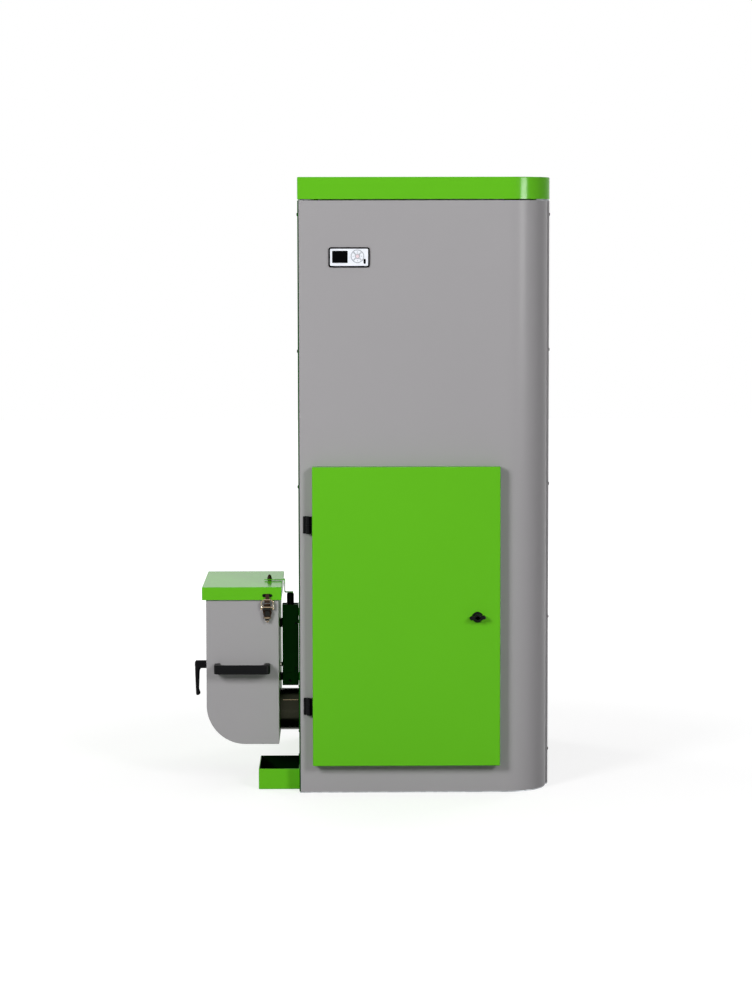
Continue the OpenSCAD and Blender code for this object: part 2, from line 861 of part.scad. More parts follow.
module top_cap() color(green_paint) {
    cap_r = corner_r + cap_r_more;
    difference() {
        translate([0, 0, cabinet_h - cap_h]) linear_extrude(height = cap_h)
            corner_plan(cab_x, cab_y, cap_r);
        translate([0, 0, cabinet_h - cap_h - over]) linear_extrude(height = cap_h + over - sheet_t)
            corner_plan(shrink(cab_x, sheet_t), shrink(cab_y, sheet_t), cap_r - sheet_t);
        block(
            grow(hopper_lid_x, lid_edge_gap),
            [hopper_lid_y[0] - lid_edge_gap, hopper_axis[0] + lid_barrel_r],
            [cabinet_h - sheet_t * 2, cabinet_h + over]
        );
        rod_z(
            boiler_cx, hopper_lid_y[0] - lid_edge_gap,
            [cabinet_h - sheet_t * 2, cabinet_h + over], notch_r
        );
    }
    // Fixed knuckles of the lid's two hinges, each on a pin
    for (share = lid_hinge_shares) {
        x = hopper_lid_x[0] + share * (hopper_lid_x[1] - hopper_lid_x[0]);
        for (side = [-1, 1]) {
            inner = x + side * (lid_knuckle_w / 2 + slip);
            xs = [min(inner, inner + side * lid_knuckle_w / 2), max(inner, inner + side * lid_knuckle_w / 2)];
            rod_x(xs, hopper_axis[0], hopper_axis[1], lid_barrel_r - slip);
            block(
                xs,
                [hopper_axis[0], hopper_axis[0] + lid_barrel_r + sheet_t],
                [cabinet_h - sheet_t - knuckle_seat_h, cabinet_h - sheet_t]
            );
        }
        rod_x([x - lid_knuckle_w, x + lid_knuckle_w], hopper_axis[0], hopper_axis[1], lid_pin_r);
    }
}

module hopper_lid() color(green_paint) difference() {
    union() {
        difference() {
            block(hopper_lid_x, hopper_lid_y, [cabinet_h - lid_pan_h, cabinet_h]);
            block(
                shrink(hopper_lid_x, sheet_t),
                shrink(hopper_lid_y, sheet_t),
                [cabinet_h - lid_pan_h - over, cabinet_h - sheet_t]
            );
        }
        for (share = lid_hinge_shares) {
            x = hopper_lid_x[0] + share * (hopper_lid_x[1] - hopper_lid_x[0]);
            xs = [x - lid_knuckle_w / 2, x + lid_knuckle_w / 2];
            rod_x(xs, hopper_axis[0], hopper_axis[1], lid_barrel_r - slip);
            block(
                xs,
                [hopper_lid_y[1] - sheet_t, hopper_axis[0]],
                [hopper_axis[1] - sheet_t, hopper_axis[1] + sheet_t]
            );
        }
    }
    rod_x(hopper_lid_x, hopper_axis[0], hopper_axis[1], lid_pin_r + running);
}

// Soft ring under the lid that closes on the hopper's rim
module hopper_lid_seal() color(dark_rubber) difference() {
    block(grow(hopper_x, seal_w / 2), grow(hopper_y, seal_w / 2), seal_span);
    block(shrink(hopper_x, seal_w / 2), shrink(hopper_y, seal_w / 2), grow(seal_span, over));
}
seal_span = [cabinet_h - sheet_t - seal_h, cabinet_h - sheet_t];

module hopper_profile(inset) {
    polygon([
        [hopper_x[0] + inset, hopper_top + inset],
        [hopper_x[0] + inset, hopper_knee],
        [boiler_cx - neck_half + inset, neck_z + neck_h],
        [boiler_cx - neck_half + inset, neck_z - inset],
        [boiler_cx + neck_half - inset, neck_z - inset],
        [boiler_cx + neck_half - inset, neck_z + neck_h],
        [hopper_x[1] - inset, hopper_knee],
        [hopper_x[1] - inset, hopper_top + inset]
    ]);
}

module hopper() color(galvanised) difference() {
    plate_y(hopper_y) hopper_profile(0);
    plate_y(shrink(hopper_y, hopper_t)) hopper_profile(hopper_t);
    // The ends stop over the feed tube outside its inlet
    for (ys = [[hopper_y[0] - over, hopper_y[0] + neck_end], [hopper_y[1] - neck_end, hopper_y[1] + over]])
        block(
            grow([boiler_cx - neck_half, boiler_cx + neck_half], over),
            ys,
            [neck_z - over, feed_z + feed_tube_r]
        );
}

// Where the hopper's neck opens into the feed tube
function inlet_span() = shrink(hopper_y, neck_end);

module feed_tube() color(dark_steel) difference() {
    rod_y(boiler_cx, feed_y, feed_z, feed_tube_r);
    rod_y(boiler_cx, grow(feed_y, over), feed_z, feed_bore_r);
    block(
        grow([boiler_cx - neck_half, boiler_cx + neck_half], hem_slack),
        grow(inlet_span(), hem_slack),
        [feed_z, feed_z + feed_tube_r + over]
    );
}

module feed_auger() color(bare_steel) {
    translate([boiler_cx, feed_y[0] + flight_gap, feed_z]) rotate([-90, 0, 0])
        flight(feed_y[1] - feed_y[0] - flight_gap * 2, feed_bore_r - flight_gap, feed_pitch);
    rod_y(boiler_cx, feed_y, feed_z, feed_shaft_r);
    rod_y(boiler_cx, [feed_y[1] - over, feed_y[1] + shaft_in], feed_z, motor_shaft_r);
}

// A geared motor: square gearbox with its bore, then the round motor
module feed_gearmotor() color(black_plastic) difference() {
    union() {
        block(
            [boiler_cx - motor_w / 2, boiler_cx + motor_w / 2],
            [feed_y[1] + slip, feed_y[1] + slip + motor_d / 2],
            [feed_z - motor_w / 2, feed_z + motor_w / 2]
        );
        rod_y(boiler_cx, [feed_y[1] + motor_d / 2, feed_y[1] + motor_d], feed_z, motor_w / 2 - motor_shaft_r);
    }
    rod_y(boiler_cx, [feed_y[1], feed_y[1] + shaft_in + slip], feed_z, motor_shaft_r + running);
}

// Welded vessel: water jacket, firebox, flue tubes, ash trough, smoke box and hinge lugs
module boiler_vessel() color(dark_steel) difference() {
    union() {
        jacket_walls();
        vessel_foot();
        fire_door_lugs();
    }
    fire_side();
}

// The jacket's plates, as a box less the water between them
module jacket_walls() difference() {
    block(boiler_x, boiler_y, jacket_z);
    difference() {
        block(shrink(boiler_x, outer_plate), shrink(boiler_y, outer_plate), shrink(jacket_z, outer_plate));
        block(grow(fire_x, fire_plate), grow(fire_y, fire_plate), [jacket_z[0], jacket_z[1] - roof_h]);
        block(grow(fire_x, fire_plate), grow(turn_y, fire_plate), grow(turn_z, fire_plate));
        block(grow(doorway_x, fire_plate), [boiler_y[0], fire_y[0]], grow(doorway_z, fire_plate));
        block(grow(hatch_x, fire_plate), grow(hatch_y, fire_plate), [turn_z[1], jacket_z[1]]);
        for (x = tube_xs) rod_z(x, tube_y, jacket_z, flue_tube_r + fire_plate);
        rod_y(boiler_cx, [fire_y[1], boiler_y[1]], feed_z, feed_tube_r + fire_plate);
        rod_y(boiler_cx, [fire_y[1], boiler_y[1]], air_z, air_r + air_t + fire_plate);
    }
    for (z = [flow_z, return_z])
        rod_x([boiler_x[1] - outer_plate - over, boiler_x[1] + over], nipple_y, z, water_r - pipe_t);
}

// Side skirts, the ash trough between them, and the smoke box under the flue tubes
module vessel_foot() {
    foot_z = [boiler_lift, jacket_z[0] + over];
    for (xs = [[boiler_x[0], boiler_x[0] + skirt_t], [boiler_x[1] - skirt_t, boiler_x[1]]])
        block(xs, boiler_y, foot_z);
    rod_x(boiler_x, ash_y, ash_z, ash_bore_r + trough_t);
    for (side = [-1, 1]) {
        inner = ash_y + side * ash_slot_w / 2;
        ys = [min(inner, inner + side * trough_t), max(inner, inner + side * trough_t)];
        block(fire_x, ys, [ash_z, foot_z[1]]);
    }
    for (xs = [[fire_x[0], fire_x[0] + trough_t], [fire_x[1] - trough_t, fire_x[1]]])
        block(xs, [ash_y - ash_slot_w / 2, ash_y + ash_slot_w / 2], [ash_z, foot_z[1]]);
    difference() {
        block(grow(fire_x, smoke_plate), smoke_box_y, [smoke_box_z[0], foot_z[1]]);
        block(fire_x, shrink(smoke_box_y, smoke_plate), [smoke_box_z[0] + smoke_plate, foot_z[1] + over]);
        block(
            [boiler_cx - smoke_exit_w / 2, boiler_cx + smoke_exit_w / 2],
            [smoke_box_y[1] - smoke_plate - over, smoke_box_y[1] + over],
            [smoke_box_z[0] + smoke_plate, smoke_box_z[0] + smoke_plate + smoke_exit_h]
        );
    }
}

// Everything that the fire, its gas, the feed and the ash pass through
module fire_side() {
    block(fire_x, fire_y, fire_z);
    block(fire_x, turn_y, turn_z);
    block(doorway_x, [boiler_y[0] - over, fire_y[0] + over], doorway_z);
    block(hatch_x, hatch_y, [turn_z[1] - over, jacket_z[1] + over]);
    for (x = tube_xs) rod_z(x, tube_y, [jacket_z[0] - over, turn_z[0] + over], flue_tube_r);
    rod_y(boiler_cx, [fire_y[1] - over, boiler_y[1] + over], feed_z, feed_tube_r + running);
    rod_y(boiler_cx, [fire_y[1] - over, boiler_y[1] + over], air_z, air_r + air_t + running);
    rod_x(grow(boiler_x, over), ash_y, ash_z, ash_bore_r);
    block(
        shrink(fire_x, trough_t),
        [ash_y - ash_slot_w / 2, ash_y + ash_slot_w / 2],
        [ash_z, fire_z[0] + over]
    );
}

// Fixed hinge lugs with their pins, and the keeper that the handle's tongue turns into
module fire_door_lugs() {
    for (z = fire_hinge_zs) {
        rod_z(fire_axis[0], fire_axis[1], [z, z + lug_h], lug_r);
        block([fire_axis[0] - lug_r, fire_axis[0]], [fire_axis[1], boiler_y[0] + over], [z, z + lug_h]);
        rod_z(fire_axis[0], fire_axis[1], [z, z + lug_h + knuckle_h - pin_end], fire_pin_r);
    }
    x0 = fire_door_x[1] + keeper_gap;
    difference() {
        block([x0, x0 + fire_keeper_w], [tongue_y[0] - keeper_lip_y, boiler_y[0] + over], keeper_span);
        block([x0 - over, x0 + fire_keeper_slot], grow(tongue_y, cam_gap), grow(keeper_span, over));
    }
}
fire_hinge_zs = [fire_door_z[0] + fire_hinge_end, fire_door_z[1] - fire_hinge_end - lug_h - knuckle_h];
tongue_y = [fire_door_y[0] - tongue_gap - tongue_t, fire_door_y[0] - tongue_gap];
keeper_lip_y = fire_keeper_lip + cam_gap;
keeper_span = [fire_handle_c[1] - fire_keeper_h / 2, fire_handle_c[1] + fire_keeper_h / 2];

module cleaning_cover() color(dark_steel) {
    block(grow(hatch_x, cover_lap), grow(hatch_y, cover_lap), [jacket_z[1], jacket_z[1] + cover_t]);
    for (x = grow(hatch_x, cover_lap / 2), y = grow(hatch_y, cover_lap / 2))
        rod_z(x, y, [jacket_z[1] + cover_t - over, jacket_z[1] + cover_t + cover_bolt_h], cover_bolt_r);
}

module firebox_door() color(cast_iron) difference() {
    union() {
        block(fire_door_x, fire_door_y, fire_door_z);
        block(
            shrink(doorway_x, plug_gap),
            [fire_door_y[1] - over, boiler_y[0] + plug_d],
            shrink(doorway_z, plug_gap)
        );
        for (z = fire_hinge_zs) {
            zs = [z + lug_h + slip, z + lug_h + knuckle_h];
            rod_z(fire_axis[0], fire_axis[1], zs, lug_r);
            block([fire_axis[0], fire_door_x[0] + over], fire_door_y, zs);
        }
    }
    for (z = fire_hinge_zs)
        rod_z(fire_axis[0], fire_axis[1], [z + lug_h, z + lug_h + knuckle_h + over], fire_pin_r + running);
    rod_y(
        fire_handle_c[0],
        [fire_door_y[0] - over, fire_door_y[0] + fire_door_t - outer_plate],
        fire_handle_c[1],
        fire_spindle_r + running
    );
}

module firebox_handle() color(cast_iron) {
    x = fire_handle_c[0];
    z = fire_handle_c[1];
    grip_y = [tongue_y[0] - keeper_lip_y - grip_gap - fire_grip_t, tongue_y[0] - keeper_lip_y - grip_gap];
    rod_y(x, [fire_door_y[0] - slip, fire_door_y[0] + fire_door_t - outer_plate - slip], z, fire_spindle_r);
    rod_y(x, [grip_y[0], fire_door_y[0] - slip], z, fire_hub_r);
    plate_y(tongue_y) translate([x, z]) area([-tongue_w / 2, tongue_w / 2], [0, tongue_len]);
    plate_y(grip_y) translate([x, z - (fire_grip_len - fire_grip_r) / 2]) rotate(90)
        pill(fire_grip_len + fire_grip_r, fire_grip_r * 2);
}

// Cast burner: air box below, perforated pot on top
module burner_pot() color(cast_iron) {
    xs = [boiler_cx - burner_box_w / 2, boiler_cx + burner_box_w / 2];
    pot_z = [burner_z[1] - over, burner_z[1] + pot_h];
    difference() {
        block(xs, [burner_y - burner_box_w / 2, fire_y[1] - hem_slack], burner_z);
        block(
            shrink(xs, pot_t),
            [burner_y - burner_box_w / 2 + pot_t, fire_y[1] - pot_t],
            shrink(burner_z, pot_t)
        );
        rod_y(boiler_cx, [fire_y[1] - pot_t * 2, fire_y[1] + over], air_z, air_r);
        rod_z(boiler_cx, burner_y, [burner_z[1] - pot_t - over, burner_z[1] + over], pot_r - pot_t * 2);
    }
    difference() {
        rod_z(boiler_cx, burner_y, pot_z, pot_r);
        rod_z(boiler_cx, burner_y, [burner_z[1] + pot_t, pot_z[1] + over], pot_r - pot_t);
        for (i = [0:pot_holes - 1]) rotate_about(boiler_cx, burner_y, 360 * i / pot_holes)
            rod_x(
                [boiler_cx, boiler_cx + pot_r + over], burner_y,
                mid([burner_z[1] + pot_t, pot_z[1]]), pot_hole_r
            );
        for (i = [0:pot_holes / 2 - 1]) rotate_about(boiler_cx, burner_y, 720 * i / pot_holes)
            rod_z(boiler_cx + pot_r / 2, burner_y, grow(pot_z, over), pot_hole_r);
    }
    // Legs down to the firebox floor
    for (x = shrink(xs, pot_t * 2), y = [burner_y - burner_box_w / 2 + pot_t * 2, fire_y[1] - pot_t * 3])
        rod_z(x, y, [fire_z[0], burner_z[0] + over], pot_t * 2);
}
module rotate_about(x, y, a) translate([x, y, 0]) rotate(a) translate([-x, -y, 0]) children();

module smoke_duct() color(dark_steel) difference() {
    ys = [boiler_y[1], fan_y + smoke_duct_end];
    block(smoke_duct_x, ys, smoke_duct_z);
    block(shrink(smoke_duct_x, smoke_duct_t), shrink(ys, smoke_duct_t), shrink(smoke_duct_z, smoke_duct_t));
    block(
        [boiler_cx - smoke_exit_w / 2, boiler_cx + smoke_exit_w / 2],
        [ys[0] - over, ys[0] + smoke_duct_t + over],
        [smoke_box_z[0] + smoke_plate, smoke_box_z[0] + smoke_plate + smoke_exit_h]
    );
    rod_x([smoke_duct_x[1] - smoke_duct_t - over, smoke_duct_x[1] + over], fan_y, fan_z, duct_bore);
}
duct_bore = smoke_duct_end - smoke_duct_t * 2;

module scroll_outline(inset) {
    translate([fan_y, fan_z]) circle(r = scroll_r - inset);
    area([fan_y, fan_y + outlet_run + (inset > 0 ? over : 0)], shrink(outlet_z, inset));
}

module fan_housing() color(galvanised) difference() {
    plate_x(scroll_x) scroll_outline(0);
    plate_x(shrink(scroll_x, scroll_t)) scroll_outline(scroll_t);
    rod_x([scroll_x[0] - over, scroll_x[0] + scroll_t + over], fan_y, fan_z, duct_bore);
    rod_x([scroll_x[1] - scroll_t - over, scroll_x[1] + over], fan_y, fan_z, impeller_hub_r);
}

module fan_impeller() color(bare_steel) {
    xs = [scroll_x[0] + scroll_t + impeller_gap, scroll_x[0] + scroll_t + impeller_gap + impeller_w];
    rod_x([xs[1] - impeller_t, xs[1]], fan_y, fan_z, impeller_r);
    rod_x(xs, fan_y, fan_z, impeller_hub_r - impeller_hub_gap);
    for (i = [0:blade_count - 1]) translate([0, fan_y, fan_z]) rotate([360 * i / blade_count, 0, 0])
        block(xs, [blade_in, impeller_r - slip], [-blade_t / 2, blade_t / 2]);
    rod_x([xs[1] - over, scroll_x[1] + shaft_in], fan_y, fan_z, fan_shaft_r);
}

module fan_motor() color(black_plastic) difference() {
    rod_x([scroll_x[1], scroll_x[1] + fan_motor_len], fan_y, fan_z, fan_motor_r);
    rod_x([scroll_x[1] - over, scroll_x[1] + shaft_in + slip], fan_y, fan_z, fan_shaft_r + running);
}

// Plate on the fan's outlet, with the round collar that goes out through the rear panel
module flue_collar() color(galvanised) difference() {
    union() {
        block(scroll_x, collar_ys, grow(outlet_z, collar_plate_lap));
        rod_y(mid(scroll_x), [collar_ys[0], cab_y[1] + flue_out], mid(outlet_z), flue_r + collar_t);
    }
    rod_y(mid(scroll_x), [collar_ys[0] - over, cab_y[1] + flue_out + over], mid(outlet_z), flue_r);
}
collar_ys = [fan_y + outlet_run, fan_y + outlet_run + collar_plate_t];

module air_pipe() color(galvanised) difference() {
    ys = [fire_y[1] + hem_slack, cab_y[1] + air_out];
    rod_y(boiler_cx, ys, air_z, air_r + air_t);
    rod_y(boiler_cx, grow(ys, over), air_z, air_r);
}

// A run of pipe from the boiler's side through a forged elbow to its socket behind the rear panel
module water_run(z, stops) {
    socket_y = cab_y[1] + pipe_out - socket_len;
    elbow = [-elbow_half, elbow_half];
    difference() {
        union() {
            rod_x([boiler_x[1], pipe_x], nipple_y, z, water_r);
            translate([pipe_x, nipple_y, z]) block(elbow, elbow, elbow);
            for (run = stops) rod_y(pipe_x, run, z, water_r);
            rod_y(pipe_x, [socket_y, cab_y[1] + pipe_out], z, socket_r + socket_t);
        }
        translate([pipe_x, nipple_y, z]) sphere(r = elbow_half - elbow_t);
        rod_x([boiler_x[1] - over, pipe_x - water_r + pipe_t - hem_slack], nipple_y, z, water_r - pipe_t);
        for (run = stops) rod_y(pipe_x, grow(run, over), z, water_r - pipe_t);
        rod_y(pipe_x, [socket_y + socket_t, cab_y[1] + pipe_out + over], z, socket_r);
    }
}
pump_ys = [pump_y - pump_r, pump_y + pump_r];

module water_pipes() color(brass) {
    start = nipple_y + water_r;
    stop = cab_y[1] + pipe_out - socket_len + socket_t;
    water_run(flow_z, [[start, stop]]);
    water_run(return_z, [[start, pump_ys[0] - pipe_join], [pump_ys[1] + pipe_join, stop]]);
}

module circulation_pump() color(cast_iron) difference() {
    union() {
        rod_x([pipe_x - pump_w / 2, pipe_x + pump_w / 2], pump_y, return_z, pump_r);
        rod_x(
            [pipe_x - pump_w / 2 - pump_motor_len, pipe_x - pump_w / 2 + over],
            pump_y, return_z, pump_motor_r
        );
        rod_y(pipe_x, grow(pump_ys, pipe_join), return_z, water_r + pipe_t);
    }
    rod_y(pipe_x, grow(pump_ys, pipe_join + over), return_z, water_r - pipe_t);
}

module mains_inlet() color(black_plastic) {
    xs = [inlet_x, inlet_x + inlet_w];
    zs = [inlet_z, inlet_z + inlet_h];
    difference() {
        union() {
            block(grow(xs, inlet_flange), [cab_y[1], cab_y[1] + inlet_t], grow(zs, inlet_flange));
            block(xs, [cab_y[1] - inlet_deep, cab_y[1] + inlet_t], zs);
        }
        block(
            shrink(xs, inlet_t * 2),
            [cab_y[1] - inlet_deep + inlet_t, cab_y[1] + inlet_t + over],
            shrink(zs, inlet_t)
        );
    }
    for (side = [-1, 0, 1])
        block(
            [mid(xs) + side * blade_pitch - blade_w / 2, mid(xs) + side * blade_pitch + blade_w / 2],
            [cab_y[1] - inlet_deep + inlet_t - over, cab_y[1] - inlet_t * 2],
            [mid(zs) - abs(side) * blade_step - blade_h / 2, mid(zs) - abs(side) * blade_step + blade_h / 2]
        );
}

module ash_tube() color(dark_steel) difference() {
    union() {
        rod_x([bin_x[1] + slip, boiler_x[0]], ash_y, ash_z, ash_tube_r);
        rod_x([cab_x[0] - tube_flange_t, cab_x[0]], ash_y, ash_z, tube_flange_r);
    }
    rod_x([bin_x[1] - over, boiler_x[0] + over], ash_y, ash_z, ash_bore_r);
}

module ash_auger() color(bare_steel) {
    xs = [bin_x[1] + flight_gap, boiler_x[1] - flight_gap];
    translate([xs[0], ash_y, ash_z]) rotate([0, 90, 0])
        flight(xs[1] - xs[0], ash_bore_r - flight_gap, ash_pitch);
    rod_x(xs, ash_y, ash_z, ash_shaft_r);
    rod_x([xs[1] - over, boiler_x[1] + shaft_in], ash_y, ash_z, motor_shaft_r);
}

module ash_gearmotor() color(black_plastic) difference() {
    union() {
        rod_x([boiler_x[1], boiler_x[1] + flight_gap], ash_y, ash_z, ash_tube_r);
        block(
            [boiler_x[1] + flight_gap - over, boiler_x[1] + flight_gap + motor_d / 2],
            [ash_y - motor_w / 2, ash_y + motor_w / 2],
            [ash_z - motor_w / 2, ash_z + motor_w / 2]
        );
        rod_x(
            [boiler_x[1] + motor_d / 2, boiler_x[1] + motor_d + motor_shaft_r],
            ash_y, ash_z, motor_w / 2 - motor_shaft_r
        );
    }
    rod_x([boiler_x[1] - over, boiler_x[1] + shaft_in + slip], ash_y, ash_z, motor_shaft_r + running);
}

module floor_tray() color(green_paint) difference() {
    xs = [cab_x[0] - tray_w, cab_x[0]];
    ys = [cab_y[0] + tray_setback, cab_y[0] + tray_setback + tray_d];
    block(xs, ys, [0, tray_h]);
    block(shrink(xs, tray_t), shrink(ys, tray_t), [tray_t, tray_h + over]);
}
tray_setback = 48.5;

// Channel on the cabinet's side: holds the bin's clamp nut and guides the plunger
module bin_bracket() color(dark_green_paint) difference() {
    union() {
        difference() {
            block(bracket_x, bracket_y, bracket_z);
            block(shrink(bracket_x, bracket_t), shrink(bracket_y, bracket_t), grow(bracket_z, over));
        }
        block(shrink(bracket_x, bracket_t - over), shrink(bracket_y, bracket_t - over), guide_span);
        block(
            shrink(bracket_x, bracket_t - over),
            shrink(bracket_y, bracket_t - over),
            [clamp_z - nut_w / 2, clamp_z + nut_w / 2]
        );
        for (z = shrink(bracket_z, bracket_w / 2)) rod_x([bracket_x[1] - over, cab_x[0]], clamp_y, z, hub_r);
    }
    for (face = [bracket_y[0] - over, bracket_y[1] - split_groove])
        block(
            grow(bracket_x, over),
            [face, face + split_groove + over],
            [bracket_z[0] + bracket_split, bracket_z[0] + bracket_split + split_groove]
        );
    rod_x([bracket_x[0] - over, bracket_x[1] - bracket_t * 2], clamp_y, clamp_z, clamp_r + running);
    rod_z(mid(bracket_x), clamp_y, grow(guide_span, over), plunger_r + running);
}
guide_span = [bracket_z[1] - guide_set - guide_t, bracket_z[1] - guide_set];

module switch_plunger() color(black_plastic) {
    rod_z(mid(bracket_x), clamp_y, [bracket_z[1] - plunger_tail, bracket_z[1] + plunger_out], plunger_r);
    rod_z(
        mid(bracket_x),
        clamp_y,
        [bracket_z[1] - plunger_tail, bracket_z[1] - plunger_tail + plunger_flange_t],
        plunger_r + plunger_flange
    );
}

// Green folded door with its open back closed by the liner
module door_panel() color(green_paint) difference() {
    block(door_x, door_y, door_z);
    block(shrink(door_x, sheet_t), [door_y[0] + sheet_t, door_y[1] + over], shrink(door_z, sheet_t));
    rod_y(knob_c[0], [door_y[0] - over, door_y[0] + sheet_t + over], knob_c[1], spindle_r + running);
}

module door_liner() color(galvanised) difference() {
    xs = shrink(door_x, sheet_t);
    zs = shrink(door_z, sheet_t);
    block(xs, [door_y[1] - liner_h, door_y[1]], zs);
    block(shrink(xs, liner_t), [door_y[1] - liner_h - over, door_y[1] - liner_t], shrink(zs, liner_t));
    rod_y(knob_c[0], grow([door_y[1] - liner_t, door_y[1]], over), knob_c[1], spindle_r + running);
}

module door_hinges() color(black_plastic) for (z = hinge_zs) {
    block([hinge_axis[0] - leaf_w, hinge_axis[0]], [cab_y[0] - leaf_t, cab_y[0]], [z, z + hinge_h]);
    block([hinge_axis[0] - barrel_r, hinge_axis[0]], [hinge_axis[1], cab_y[0]], [z, z + hinge_h / 2 - slip]);
    rod_z(hinge_axis[0], hinge_axis[1], [z, z + hinge_h / 2 - slip], barrel_r);
    rod_z(hinge_axis[0], hinge_axis[1], [z, z + hinge_h - pin_end], hinge_pin_r);
}

module door_hinge_arms() color(black_plastic) for (z = hinge_zs) difference() {
    union() {
        rod_z(hinge_axis[0], hinge_axis[1], [z + hinge_h / 2, z + hinge_h], barrel_r);
        block(
            [hinge_axis[0], door_x[0]],
            [hinge_axis[1] - arm_t / 2, hinge_axis[1] + arm_t / 2],
            [z + hinge_h / 2, z + hinge_h]
        );
        block(
            [door_x[0] - arm_plate_t, door_x[0]],
            [door_y[0] + arm_t, door_y[1]],
            [z - arm_drop, z + hinge_h]
        );
    }
    rod_z(
        hinge_axis[0],
        hinge_axis[1],
        [z + hinge_h / 2 - over, z + hinge_h - pin_end + slip],
        hinge_pin_r + running
    );
}

// Wing knob on its spindle
module door_knob() color(black_plastic) {
    cam_back = front_in_y + cam_gap + cam_t;
    rod_y(knob_c[0], [door_y[0] - knob_base_h, door_y[0] - slip], knob_c[1], knob_base_r);
    plate_y([door_y[0] - knob_out, door_y[0] - knob_base_h + over]) translate(knob_c) rotate(wing_tilt) {
        circle(r = knob_hub_r);
        pill(knob_span, wing_t);
    }
    rod_y(knob_c[0], [door_y[0] - knob_base_h, cam_back], knob_c[1], spindle_r);
}

module latch_cam() color(bare_steel)
    plate_y([front_in_y + cam_gap, front_in_y + cam_gap + cam_t]) translate(knob_c) difference() {
        translate([0, (cam_len - cam_w / 2) / 2]) rotate(90) pill(cam_len + cam_w / 2, cam_w);
        circle(r = spindle_r + running);
    }

// Black frame round the display, with its back wall
module display_bezel() color(black_plastic) {
    difference() {
        plate_y([cab_y[0] - bezel_out, cab_y[0]]) round_area(display_x, display_z, bezel_r);
        plate_y([cab_y[0] - bezel_out - over, cab_y[0] + over])
            round_area(shrink(display_x, bezel_w), shrink(display_z, bezel_w), bezel_r - bezel_w);
    }
    difference() {
        block(
            shrink(display_x, bezel_lip),
            [cab_y[0] - over, cab_y[0] + bezel_back],
            shrink(display_z, bezel_lip)
        );
        block(
            shrink(display_x, bezel_w),
            [cab_y[0] - over * 2, cab_y[0] + bezel_back - bezel_floor_t],
            shrink(display_z, bezel_w)
        );
    }
}

face_y = [cab_y[0] - bezel_out + face_set, cab_y[0] - bezel_out + face_set + face_t];
lcd_x = [display_x[0] + lcd_inset, display_x[0] + lcd_inset + lcd_w];
lcd_drop = 8.5;
lcd_z = [display_z[1] - lcd_drop - lcd_h, display_z[1] - lcd_drop];
ir_c = [display_x[1] - ir_inset - ir_w / 2, display_z[0] + ir_rise + ir_h / 2];

module display_face() color(white_plastic) difference() {
    plate_y(face_y) round_area(shrink(display_x, bezel_w), shrink(display_z, bezel_w), bezel_r - bezel_w);
    block(lcd_x, grow(face_y, over), lcd_z);
    plate_y(grow(face_y, over)) translate(ir_c) rotate(90) pill(ir_h, ir_w);
    rod_y(keypad_c[0], grow(face_y, over), keypad_c[1], keypad_r + key_gap);
}

module display_windows() color(black_plastic) {
    block(shrink(lcd_x, window_gap), face_y, shrink(lcd_z, window_gap));
    plate_y(face_y) translate(ir_c) rotate(90) pill(ir_h - window_gap * 2, ir_w - window_gap * 2);
}

// One quarter of the keypad's ring, turned to its place
key_turns = [45, 135, 225, 315];
module quarter_key(place) color(white_plastic)
    plate_y([face_y[0] - key_out, face_y[0] - key_out + key_t])
    translate(keypad_c) rotate(key_turns[place]) intersection() {
        difference() {
            circle(r = keypad_r);
            circle(r = key_hub_r + key_gap);
        }
        area([key_gap / 2, keypad_r * 2], [key_gap / 2, keypad_r * 2]);
    }
module key_up() quarter_key(0);
module key_left() quarter_key(1);
module key_down() quarter_key(2);
module key_right() quarter_key(3);
module key_centre() color(white_plastic)
    rod_y(keypad_c[0], [face_y[0] - key_out, face_y[0] - key_out + key_t], keypad_c[1], key_hub_r);

// Board behind the display with its main components
module control_board() {
    ys = [cab_y[0] + bezel_back, cab_y[0] + bezel_back + board_t];
    color(board_green) block(shrink(display_x, bezel_lip), ys, shrink(display_z, bezel_lip));
    color(black_plastic) for (share = chip_shares)
        block(
            [display_x[0] + share[0] * display_w, display_x[0] + share[1] * display_w],
            [ys[1], ys[1] + chip_t],
            [display_z[0] + share[2] * display_h, display_z[0] + share[3] * display_h]
        );
}
chip_shares = [[0.1, 0.3, 0.2, 0.6], [0.4, 0.55, 0.3, 0.7], [0.65, 0.9, 0.15, 0.35], [0.65, 0.9, 0.55, 0.8]];
chip_t = 5;

// Grey shell of the bin with the sleeve that the clamp rod runs in
module bin_shell() color(grey_paint) difference() {
    union() {
        difference() {
            plate_y(bin_y) bin_outline(bin_x, bin_z, bin_corner_r);
            plate_y(shrink(bin_y, bin_t))
                bin_outline(shrink(bin_x, bin_t), [bin_z[0] + bin_t, bin_z[1] + over], bin_corner_r - bin_t);
        }
        rod_x(bin_x, clamp_y, clamp_z, clamp_r + sleeve_t);
        // Fixed knuckles of the lid's hinges
        for (x = lid_hinge_xs, side = [-1, 1]) {
            inner = x + side * (lid_knuckle / 2 + slip);
            xs = [min(inner, inner + side * lid_knuckle / 2), max(inner, inner + side * lid_knuckle / 2)];
            rod_x(xs, lid_axis[0], lid_axis[1], lid_barrel_r);
            block(
                xs, [bin_y[1] - over, lid_axis[0]],
                [lid_axis[1] - lid_barrel_r, lid_axis[1] - lid_barrel_r + lid_leaf_t * 2]
            );
        }
        for (x = lid_hinge_xs) rod_x([x - lid_knuckle, x + lid_knuckle], lid_axis[0], lid_axis[1], lid_pin_r);
    }
    rod_x(grow(bin_x, over), clamp_y, clamp_z, clamp_r + running);
    rod_x([bin_x[1] - bin_t - over, bin_x[1] + over], ash_y, ash_z, ash_bore_r);
}
lid_hinge_xs = [for (share = lid_hinge_shares) lid_x[0] + share * (lid_x[1] - lid_x[0])];

